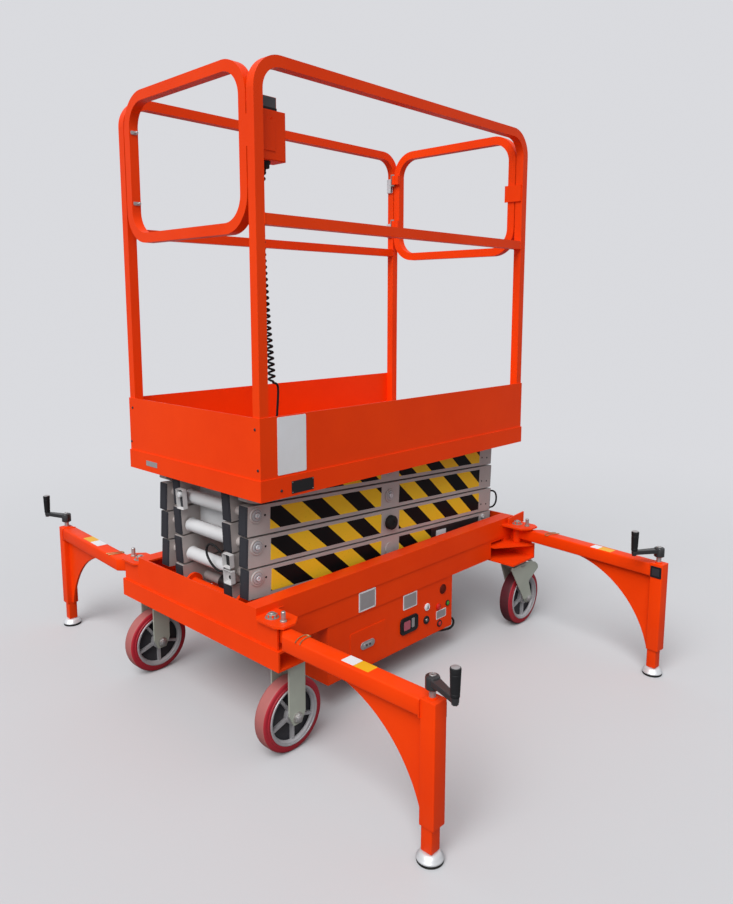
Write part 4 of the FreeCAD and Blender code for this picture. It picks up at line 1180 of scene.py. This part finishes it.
def atCorner(name):
    # each outrigger is drawn at the rear right corner about its pivot, beam along -y
    sx, sy, inward, crankTurn = corners[name]
    return (machine @ Matrix.Translation((sx * outrigger["pivotX"], sy * outrigger["pivotY"], 0))
            @ Matrix.Scale(-sx, 4, (1, 0, 0)) @ Matrix.Scale(-sy, 4, (0, 1, 0))
            @ Matrix.Rotation(math.radians(inward), 4, "Z"))


def atCrank(name):
    x, y = outrigger["legX"], outrigger["legY"]
    return (atCorner(name) @ Matrix.Translation((x, y, 0))
            @ Matrix.Rotation(math.radians(corners[name][3]), 4, "Z"))


# outline of the beam in its own frame, and the arc of the gusset under it by its middle and radius
beam = {"outline": ((6.5, 0), (-15, 0), (-15, -62), (-43.0, -92), (-43.0, -570), (6.5, -570)), "round": 4.0,
        "eye": 15.0, "eyeLow": 340.3, "eyeTop": 407.7}
gusset = {"middle": (218.8, 3.2), "radius": 353.0, "top": 354.5, "steps": 28, "near": -14.0, "thick": 8.0}
legTube = {"half": 21.5, "y": -589.5, "low": 92.6, "round": 5.0, "wall": 4.0, "sunk": 60.0, "jackHalf": 16.4,
           "jackTop": 250.0}


def gussetOutline():
    v0, z0 = gusset["middle"]
    r, face, low = gusset["radius"], -legTube["y"] - legTube["half"] + 2, outrigger["beamLow"]
    first, last = math.acos((gusset["top"] - z0) / r), math.acos((legTube["low"] + 1 - z0) / r)
    steps = gusset["steps"]
    arc = [(v0 + r * math.sin(first + (last - first) * n / steps), z0 + r * math.cos(first + (last - first) * n / steps))
           for n in range(steps + 1)]
    return arc + [(face, legTube["low"] + 1), (face, low + 3), (arc[0][0] - 22, low + 3), (arc[0][0] - 22, low - 0.4)]


def makeOutriggerBodies():
    # rounded beam and leg tubes, the eye at the pivot and the curved gusset between them
    top, low, half = outrigger["beamTop"], outrigger["beamLow"], legTube["half"]
    bar = cutSheet(beam["outline"], top - low, 0)
    bar.data.transform(Matrix.Translation((0, 0, low)))
    softened(bar, beam["round"], 3)
    x, y = outrigger["legX"], outrigger["legY"]
    leg = slab((x - half, legTube["y"] - half, legTube["low"]), (x + half, legTube["y"] + half, outrigger["legTop"]), 0)
    selectFaces(leg, lambda face: face.normal.z < -0.9)
    bpy.ops.mesh.inset(thickness=legTube["wall"])
    bpy.ops.mesh.extrude_region_move(TRANSFORM_OT_translate={"value": (0, 0, legTube["sunk"])})
    bpy.ops.object.mode_set(mode="OBJECT")
    softened(leg, legTube["round"], 4, 60)
    eye = turned([(beam["eye"] - 1, beam["eyeLow"]), (beam["eye"], beam["eyeLow"] + 1.2),
                  (beam["eye"], beam["eyeTop"] - 1.2), (beam["eye"] - 1, beam["eyeTop"])], 32)
    rib = cutSheet(gussetOutline(), gusset["thick"], 0.8)
    rib.data.transform(Matrix(((0, 0, -1, gusset["near"]), (-1, 0, 0, 0), (0, 1, 0, 0), (0, 0, 0, 1))))
    whole = painted(joined([smoothed(bar), smoothed(leg), eye, rib]), orangePaint)
    inner = legTube["jackHalf"]
    jack = slab((x - inner, y - inner, outrigger["footTop"]), (x + inner, y + inner, legTube["jackTop"]), 3.0, 3)
    painted(smoothed(jack), orangePaint)
    for name in corners:
        piece = stamp(whole, [atCorner(name)], name + "_body", name + "_outrigger")
        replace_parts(piece, name + "_outrigger")
        tube = stamp(jack, [atCorner(name)], name + "_inner_tube", name + "_jack")
        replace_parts(tube, name + "_jack_tube")
    forget(whole, jack)


# start, change and end of the pale and yellow film on each beam, measured along it from the pivot
beamFilms = {"rear_right": (305.0, 348.0, 398.0), "front_right": (333.0, 365.0, 416.0),
             "rear_left": (270.0, 335.0, 400.0), "front_left": (305.0, 348.0, 398.0)}
film = {"wide": 36.0, "x": -14.5}


def makeBeamFilms():
    for name, (start, change, end) in beamFilms.items():
        sheets = []
        for a, b, finish in ((start, change, whiteFilm), (change, end, yellowFilm)):
            sheet = plateOf(film["wide"], b - a - 0.6, 2.0, 0.5, finish)
            sheet.data.transform(Matrix.Translation((film["x"], -(a + b) / 2, outrigger["beamTop"])))
            sheets.append(sheet)
        settle(joined(sheets), name + "_films", name + "_outrigger", atCorner(name))


legPlug = {"size": 40.0, "thick": 2.2, "z": 375.0}


def makeLegPlugs():
    size = legPlug["size"]
    plug = joined([painted(cutSheet(roundedOutline(size, size, 3.0), legPlug["thick"], 0.8), blackPlastic),
                   painted(cutSheet(roundedOutline(size - 14, size - 14, 2.0), legPlug["thick"] + 1, 0.6), charcoal)])
    for name in corners:
        place = within(atCorner(name), (outrigger["legX"] + legTube["half"], legTube["y"], legPlug["z"]), (1, 0, 0))
        stamp(plug, [place], name + "_leg_plug", name + "_outrigger")
    forget(plug)


def makeOutriggerWelds():
    # beads where the beam meets the leg and along both edges of the curved gusset
    x, half = outrigger["legX"], legTube["half"]
    face = legTube["y"] + half
    middle = (outrigger["beamTop"] + outrigger["beamLow"]) / 2
    for name in corners:
        beads = [weldRing((x, face + 0.5, middle), (0, -1, 0), half + 4.5, (outrigger["beamTop"] - outrigger["beamLow"]) / 2)]
        for side in (-1, 1):
            edge = outrigger["gussetX"] + side * 4.5
            beads.append(weld([(edge, -250, outrigger["beamLow"]), (edge, face + 2, outrigger["beamLow"]),
                               (edge, face, outrigger["beamLow"] - 4), (edge, face, 100)], 1.8))
        settle(joined(beads), name + "_welds", name + "_outrigger", atCorner(name))


def makeLegCollars():
    # bearing collar round the crank's shaft, on the leg's cap
    top = outrigger["legTop"]
    collar = painted(spun([(8.4, top), (12, top), (12, top + 2.4), (11, top + 3.2), (8.4, top + 3.2)], 36), orangePaint)
    for name in corners:
        stamp(collar, [atCorner(name) @ Matrix.Translation((outrigger["legX"], outrigger["legY"], 0))],
              name + "_leg_collar", name + "_outrigger")
    forget(collar)


crank = {"shaft": 8.2, "grip": 12.8, "gripLow": 453.0, "nut": 8.0}


def makeCrankParts():
    # steel shaft, round hub and tapered arm, and the moulded grip with its pale cap
    top, arm = outrigger["gripTop"], outrigger["crankArm"]
    r, low = crank["grip"], crank["gripLow"]
    shaft = painted(turned([(crank["shaft"], 407.4), (crank["shaft"], 424.0), (crank["shaft"] + 2, 426.0)], 24), steel)
    profile = [(r - 3.0, low), (r - 2.2, low + 1.5)]
    for n in range(2):
        z = low + 8 + n * 44
        base = r - 2.2 + 2.2 * (z - low) / (top - low)
        profile += [(base, z), (base - 0.6, z + 0.8), (base - 0.6, z + 2.2), (base + 0.1, z + 3)]
    profile += [(r, top - 3), (r - 0.6, top - 0.6), (r - 2, top + 0.4)]
    grip = painted(turned(profile, 28), blackPlastic)
    cap = painted(turned([(r - 2.4, top + 0.3), (r - 2.6, top + 1.6), (r - 4.2, top + 2.4)], 28), greyPlate)
    nut = painted(turned([(crank["nut"], outrigger["crankZ"] - 6), (crank["nut"], outrigger["crankZ"] + 0.1)], 6), crankPaint)
    far = joined([grip, cap, nut])
    far.data.transform(Matrix.Translation((0, -arm, 0)))
    hubLow, hubTop = outrigger["crankZ"] - 16, outrigger["crankZ"] + 14
    hub = painted(turned([(14.5, hubLow - 0.6), (17.2, hubLow + 2), (17.2, hubTop - 3), (15.6, hubTop + 0.6),
                          (10.0, hubTop + 2.6), (4.0, hubTop + 3.2)], 36), crankPaint)
    web = painted(cutSheet(((-13, -8), (-8.6, -arm + 12), (-8.6, -arm), (8.6, -arm), (8.6, -arm + 12), (13, -8)), 14.0, 1.6), crankPaint)
    web.data.transform(Matrix.Translation((0, 0, outrigger["crankZ"] - 2)))
    ring = painted(turned([(8.4, hubTop + 2), (8.4, hubTop + 4), (7.4, hubTop + 4.8), (4.2, hubTop + 4.8), (3.6, hubTop + 3)], 28), steel)
    whole = joined([shaft, far, hub, web, ring])
    for name in corners:
        stamp(whole, [atCrank(name)], name + "_crank_grip", name + "_crank")
    forget(whole)


jackFoot = {"neck": 19.0, "rim": 33.4, "rubber": 32.4}


def makeFootParts():
    # bright cup with a rolled rim under the inner tube, on its rubber pad
    z, neck, rim, rubber = outrigger["footTop"], jackFoot["neck"], jackFoot["rim"], jackFoot["rubber"]
    cup = painted(turned([(rim - 2.5, 7.2), (rim - 0.6, 7.6), (rim, 9.2), (rim - 0.3, 10.8), (rim - 1.8, 12.6),
                          (rim - 4.4, 17.5), (rim - 8.0, 22.5), (neck + 2.5, z - 1.8), (neck, z - 0.8)], 56), footMetal)
    pad = painted(turned([(rubber - 1.2, 0), (rubber, 1.2), (rubber, 6.6), (rubber - 1.0, 7.8)], 56), blackRubber)
    for name in corners:
        place = atCorner(name) @ Matrix.Translation((outrigger["legX"], outrigger["legY"], 0))
        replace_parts(stamp(cup, [place], name + "_foot_cup", name + "_jack"), name + "_foot")
        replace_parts(stamp(pad, [place], name + "_foot_rubber", name + "_jack"), name + "_foot_pad")
    forget(cup, pad)


chassis = {"x": 656.0, "crossTop": 340.0, "pivotNut": 414.0, "pinX": 627.0, "pinY": 398.0, "pinTop": 444.0,
           "plateTop": 414.0}


def makeBracketParts():
    # plated nut on each outrigger's pivot, and the drawn-up lock pin with its ring
    z = chassis["pivotNut"]
    nut = joined([painted(turned([(20, z), (20, z + 1.6), (19, z + 2)], 30), zinc),
                  painted(turned([(15.5, z + 1.8), (15.5, z + 9.6), (13.6, z + 11)], 6), zinc),
                  painted(turned([(8.6, z + 10.5), (8.6, z + 13.4), (7.2, z + 14.6)], 20), steel)])
    r = 6.6
    pin = joined([painted(turned([(r + 3, z), (r + 3, z + 4), (r + 2, z + 5)], 24), zinc),
                  painted(turned([(r, z + 3), (r, chassis["pinTop"] - 2), (r - 1.8, chassis["pinTop"])], 24), steel)])
    places, pins = [], []
    for sx, sy, inward, turn in corners.values():
        places.append(machine @ Matrix.Translation((sx * outrigger["pivotX"], sy * outrigger["pivotY"], 0)))
        pins.append(machine @ Matrix.Translation((sx * chassis["pinX"], sy * chassis["pinY"], 0)))
    stamp(nut, places, "pivot_nuts", "root")
    stamp(pin, pins, "lock_pin_sleeves", "root")
    forget(nut, pin)


# brass wire over the beam beside the lock pin, in the outrigger's own frame
springClip = {"wire": 1.6, "points": ((-47, -150, 403), (-36, -144, 404.2), (-22, -138, 404.4), (-6, -134, 404.2),
                                      (6, -136, 403), (10, -144, 401), (8, -152, 403), (-6, -150, 404.2),
                                      (-22, -154, 404.2), (-36, -160, 404), (-46, -167, 403))}


def makeSpringClips():
    for name in corners:
        wire = painted(pipeRun([Vector(p) for p in springClip["points"]], springClip["wire"], "NURBS", 3), brass)
        settle(wire, name + "_pin_clip", name + "_outrigger", atCorner(name))


stitch = {"long": 42.0, "pitch": 105.0, "count": 3}


def makeChassisWelds():
    # stitch welds along the ledge of both end channels and full beads at the ends of the long rails
    beads = []
    for sx in (-1, 1):
        x = sx * (chassis["x"] + 0.5)
        for n in range(-stitch["count"], stitch["count"] + 1):
            middle = n * stitch["pitch"]
            beads.append(weld([(x, middle - stitch["long"] / 2, chassis["crossTop"] + 0.5),
                               (x, middle + stitch["long"] / 2, chassis["crossTop"] + 0.5)], 2.2))
        for sy in (-1, 1):
            beads.append(weld([(sx * (chassis["x"] - 1), sy * 315.5, 368), (sx * (chassis["x"] - 1), sy * 315.5, 405)], 1.8))
            beads.append(weld([(sx * 556, sy * 315.0, 414.5), (sx * 596, sy * 315.0, 414.5)], 2.0))
    settle(joined(beads), "chassis_welds", "root", machine)


caster = {"rearX": -578.0, "frontX": 652.0, "y": 356.0, "radius": 110.0, "half": 26.0, "rim": 88.0, "hub": 26.0,
          "turnX": 604.0, "plateLow": 275.0}
wheels = {"rear_right": (-1, -1), "rear_left": (-1, 1), "front_right": (1, -1), "front_left": (1, 1)}


def atWheel(name):
    sx, sy = wheels[name]
    return onMachine((caster["frontX"] if sx > 0 else caster["rearX"], sy * caster["y"], caster["radius"]), (0, sy, 0))


def makeTreads():
    # polyurethane tyre: flat tread, round shoulders and a stepped side wall
    r, half, rim = caster["radius"], caster["half"], caster["rim"]
    side = [(rim + 0.1, half - 0.6), (rim + 6.5, half - 0.4), (rim + 8, half - 2.2), (rim + 10, half - 2.4),
            (r - 6.5, half - 2.8), (r - 3.6, half - 4.2), (r - 1.5, half - 6.8), (r - 0.4, half - 10), (r, half - 14)]
    outline = side + [(x, -h) for x, h in reversed(side)]
    # the front tyres' running face is darker, partly for dirt and partly as painted shade; the rear ones' running face
    # is pale with dust
    for end, worn in (("front", treadDirtAndShade), ("rear", dustyTread)):
        tyre = painted(spun(outline, 88), redTread)
        tyre.data.materials.append(worn)
        for face in tyre.data.polygons:
            if face.center.xy.length > r - 1.6:
                face.material_index = 1
        for side in ("_right", "_left"):
            name = end + side
            piece = stamp(tyre, [atWheel(name)], name + "_tyre", name + "_wheel")
            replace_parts(piece, name + "_wheel_tread")
        forget(tyre)


def makeHubParts():
    # rolled rim, a charcoal disc painted as the shade on the floor of the pockets between the ribs, and the bearing's
    # cap
    half, rim, hub = caster["half"], caster["rim"], caster["hub"]
    lip = spun([(rim - 3.2 + 2.6 * math.cos(a), half + 0.4 + 1.8 * math.sin(a))
                for a in [math.pi * n / 4 for n in range(8)]], 72)
    flange = spun([(rim - 14, half - 12), (rim - 12.5, half - 6.5), (rim - 9, half - 3.4), (rim - 2, half - 0.4),
                   (rim - 2, half - 12)], 72)
    # charcoal disc: painted shade on the floor of the pockets
    web = painted(spun([(hub - 1, half - 19), (rim - 7.4, half - 19), (rim - 7.4, half - 17), (rim - 9, half - 17.4),
                        (hub + 2, half - 17.4), (hub - 1, half - 16.6)], 60), charcoal)
    cap = painted(spun([(8.6, half - 1), (20, half - 1), (20, half + 2.4), (17.6, half + 4), (8.6, half + 4)], 40), steel)
    near = joined([painted(lip, castHub), painted(flange, castHub), web, cap])
    for name in wheels:
        both = [atWheel(name), atWheel(name) @ Matrix.Scale(-1, 4, (0, 0, 1))]
        stamp(near, both, name + "_hub_dress", name + "_wheel")
    forget(near)


axleNut = {"radius": 13.7, "high": 8.4, "out": 41.2}


def makeAxleNuts():
    # bright lock nuts on the axle bolts, outside the forks' legs
    nut = joined([painted(turned([(17, 0), (17, 1.4), (16, 1.8)], 28), zinc),
                  painted(turned([(axleNut["radius"], 1.4), (axleNut["radius"], axleNut["high"] - 1),
                                  (axleNut["radius"] * 0.88, axleNut["high"] + 0.4)], 6), steel),
                  painted(turned([(8.8, axleNut["high"]), (8.8, axleNut["high"] + 2.6), (7.0, axleNut["high"] + 3.8)], 20), steel)])
    for name, (sx, sy) in wheels.items():
        x = caster["frontX"] if sx > 0 else caster["rearX"]
        places = [onMachine((x, sy * caster["y"] + s * axleNut["out"], caster["radius"]), (0, s, 0)) for s in (-1, 1)]
        stamp(nut, places, name + "_axle_nuts", name + "_fork" if sx > 0 else "root")
    forget(nut)


casterBolts = {"radius": 6.5, "high": 4.0, "frontSpots": (43.0, 37.0), "rearSpots": (37.0, 29.0)}


def makeCasterBolts():
    # heads of the bolts that hold the casters' plates up to the chassis
    head = hexHead(casterBolts["radius"], casterBolts["high"], zinc)
    places = []
    for name, (sx, sy) in wheels.items():
        middle = caster["turnX"] if sx > 0 else caster["rearX"]
        dx, dy = casterBolts["frontSpots" if sx > 0 else "rearSpots"]
        places += [onMachine((middle + a * dx, sy * caster["y"] + b * dy, caster["plateLow"]), (0, 0, -1), (0, 1, 0))
                   for a in (-1, 1) for b in (-1, 1)]
    stamp(head, places, "caster_bolts", "root")
    forget(head)


# brake cheek on the front forks: outline along the machine and upward, and its inner face from the wheel's middle
cheek = {"outline": ((520, 262), (618, 114), (674, 114), (648, 184), (717, 221), (716, 235), (696, 252), (660, 264),
                     (600, 266), (540, 265)), "out": 41.0, "thick": 4.5}


def makeCheeks():
    plate = painted(cutSheet(cheek["outline"], cheek["thick"], 1.2), forkMetal)
    plate.data.transform(Matrix(((1, 0, 0, 0), (0, 0, 1, cheek["out"]), (0, 1, 0, 0), (0, 0, 0, 1))))
    for name in ("front_right", "front_left"):
        middle = machine @ Matrix.Translation((0, wheels[name][1] * caster["y"], 0))
        stamp(plate, [middle @ Matrix.Scale(wheels[name][1], 4, (0, 1, 0))], name + "_cheek", name + "_fork")
    forget(plate)


stopPlate = {"outline": ((596, 412), (656, 412), (656, 404), (706, 404), (706, 446), (596, 439)), "y": 334.0, "thick": 6.0}


def makeStopPlates():
    # upright plate beside each front outrigger's pivot
    plate = painted(cutSheet(stopPlate["outline"], stopPlate["thick"], 1.0), orangePaint)
    plate.data.transform(Matrix(((1, 0, 0, 0), (0, 0, 1, -stopPlate["y"]), (0, 1, 0, 0), (0, 0, 0, 1))))
    stamp(plate, [machine, machine @ Matrix.Scale(-1, 4, (0, 1, 0))], "pivot_stop_plates", "root")
    forget(plate)


def makeSwivelRaces():
    # pressed ball race under each front plate
    race = painted(spun([(30, 252), (45, 252), (49, 256), (50, 264), (48, 267), (44, 268), (44, 270), (40, 272.6),
                         (30, 272.6)], 56), zinc)
    for name in ("front_right", "front_left"):
        y = wheels[name][1] * caster["y"]
        stamp(race, [machine @ Matrix.Translation((caster["turnX"], y, 0))], name + "_race", name + "_fork")
    forget(race)


makeOutriggerBodies()
makeBeamFilms()
makeLegPlugs()
makeOutriggerWelds()
makeLegCollars()
makeCrankParts()
makeFootParts()
print("outriggers dressed")
makeBracketParts()
makeSpringClips()
makeChassisWelds()
makeTreads()
makeHubParts()
makeAxleNuts()
makeCasterBolts()
makeSwivelRaces()
makeCheeks()
makeStopPlates()
print("chassis and casters dressed")


# frames and hoses at the ends of the inner arms
endFrame = {"wide": 37.0, "high": 42.0, "wall": 3.2, "deep": 16.0, "tall": 64.0}


def openFrame(high, floorFinish):
    # shallow open box of bent sheet, its floor in a finish of its own
    wide, wall, deep = endFrame["wide"], endFrame["wall"], endFrame["deep"]
    box = painted(cutSheet(roundedOutline(wide, high, 2.5), deep, 0), tubePaint)
    selectFaces(box, lambda face: face.normal.z > 0.9)
    bpy.ops.mesh.inset(thickness=wall)
    bpy.ops.transform.translate(value=(0, 0, 3.0 - deep))
    bpy.ops.object.mode_set(mode="OBJECT")
    softened(box, 0.8, 2)
    floor = painted(cutSheet(roundedOutline(wide - 2 * wall, high - 2 * wall, 1.5), 3.6, 0.2), floorFinish)
    return joined([box, floor])


def makeEndFrames():
    # open boxes and a pierced lug on two inner arms, on the plugs' faces
    deep = endFrame["deep"]
    dark = openFrame(endFrame["high"], blackPlastic)
    lug = openFrame(endFrame["high"], tubePaint)
    # black disc painted as the shade in the lug's hole
    holeShade = painted(turned([(6, 3), (6, 4.4), (5.2, 4.8)], 16), blackPlastic)
    holeShade.data.transform(Matrix.Translation((2, -4, 0)))
    lug = joined([lug, holeShade])
    tall = openFrame(endFrame["tall"], charcoal)
    knob = painted(turned([(9, 3.4), (9, deep - 3), (7.5, deep), (3, deep + 0.8)], 24), whiteTube)
    knob.data.transform(Matrix.Translation((-4, 14, 0)))
    tall = joined([tall, knob])
    face = -(arms["half"] + arms["end"] + armPlug["thick"] + 1)
    middle = arms["innerY"] - arms["width"] / 2
    for level, side, out, up, master, name in ((2, -1, 20.0, 32.5, dark, "arm_end_box_right"),
                                               (2, -1, 20.0, -17.5, lug, "arm_end_lug_right"),
                                               (4, 1, -40.0, -14.0, tall, "arm_end_box_left")):
        stamp(master, [within(onArm(level, -1, side), (face, middle + out, up), (-1, 0, 0))], name,
              "inner_" + str(level))
    forget(dark, lug, tall)


# control points of the clipped hoses on the arm ends
hoses = {"radius": 3.6,
         "inner": ((-612, -112, 532), (-622, -104, 546), (-626, -84, 560), (-626, -56, 562), (-626, -38, 542),
                   (-626, -42, 518), (-626, -66, 496), (-625, -96, 484), (-621, -118, 486), (-612, -126, 492)),
         "outer": ((612, -214, 528), (622, -220, 528), (640, -226, 526), (657, -227, 515), (665, -227, 495),
                   (661, -227, 473), (647, -226, 460), (630, -222, 457), (612, -214, 458))}


def makeHoses():
    for run, body in (("inner", "inner_2"), ("outer", "outer_2")):
        hose = painted(pipeRun([Vector(p) for p in hoses[run]], hoses["radius"], "NURBS", 4), blackRubber)
        settle(hose, run + "_end_hose", body, machine)


cylinder = {"low": (-522.2, 0, 392.9), "high": (474.5, 0, 569.2), "end": 862.0, "radius": 34.0, "rod": 18.4}


def makeCylinderParts():
    # gland nut at the barrel's mouth, weld ring at its base and two oil ports on top
    low, high = Vector(cylinder["low"]), Vector(cylinder["high"])
    along = high - low
    r, end = cylinder["radius"], cylinder["end"]
    gland = spun([(cylinder["rod"], end - 16), (r + 3, end - 16), (r + 3, end - 2), (r + 1, end + 1),
                  (cylinder["rod"] + 5, end + 1), (cylinder["rod"], end - 2)], 48)
    base = spun([(r - 1, 34), (r + 2, 35), (r + 2.6, 38), (r + 2, 41), (r - 1, 42)], 48)
    parts = [gland, base]
    for z in (70.0, end - 34):
        port = turned([(9, r - 3), (9, r + 8), (8, r + 9.5)], 6)
        port.data.transform(within(Matrix(), (0, 0, z), (0, 1, 0)))
        parts.append(port)
    settle(painted(joined(parts), blackPaint), "cylinder_fittings", "barrel", onMachine(low, along))


makeEndFrames()
makeHoses()
makeCylinderParts()
print("arm ends and cylinder dressed")
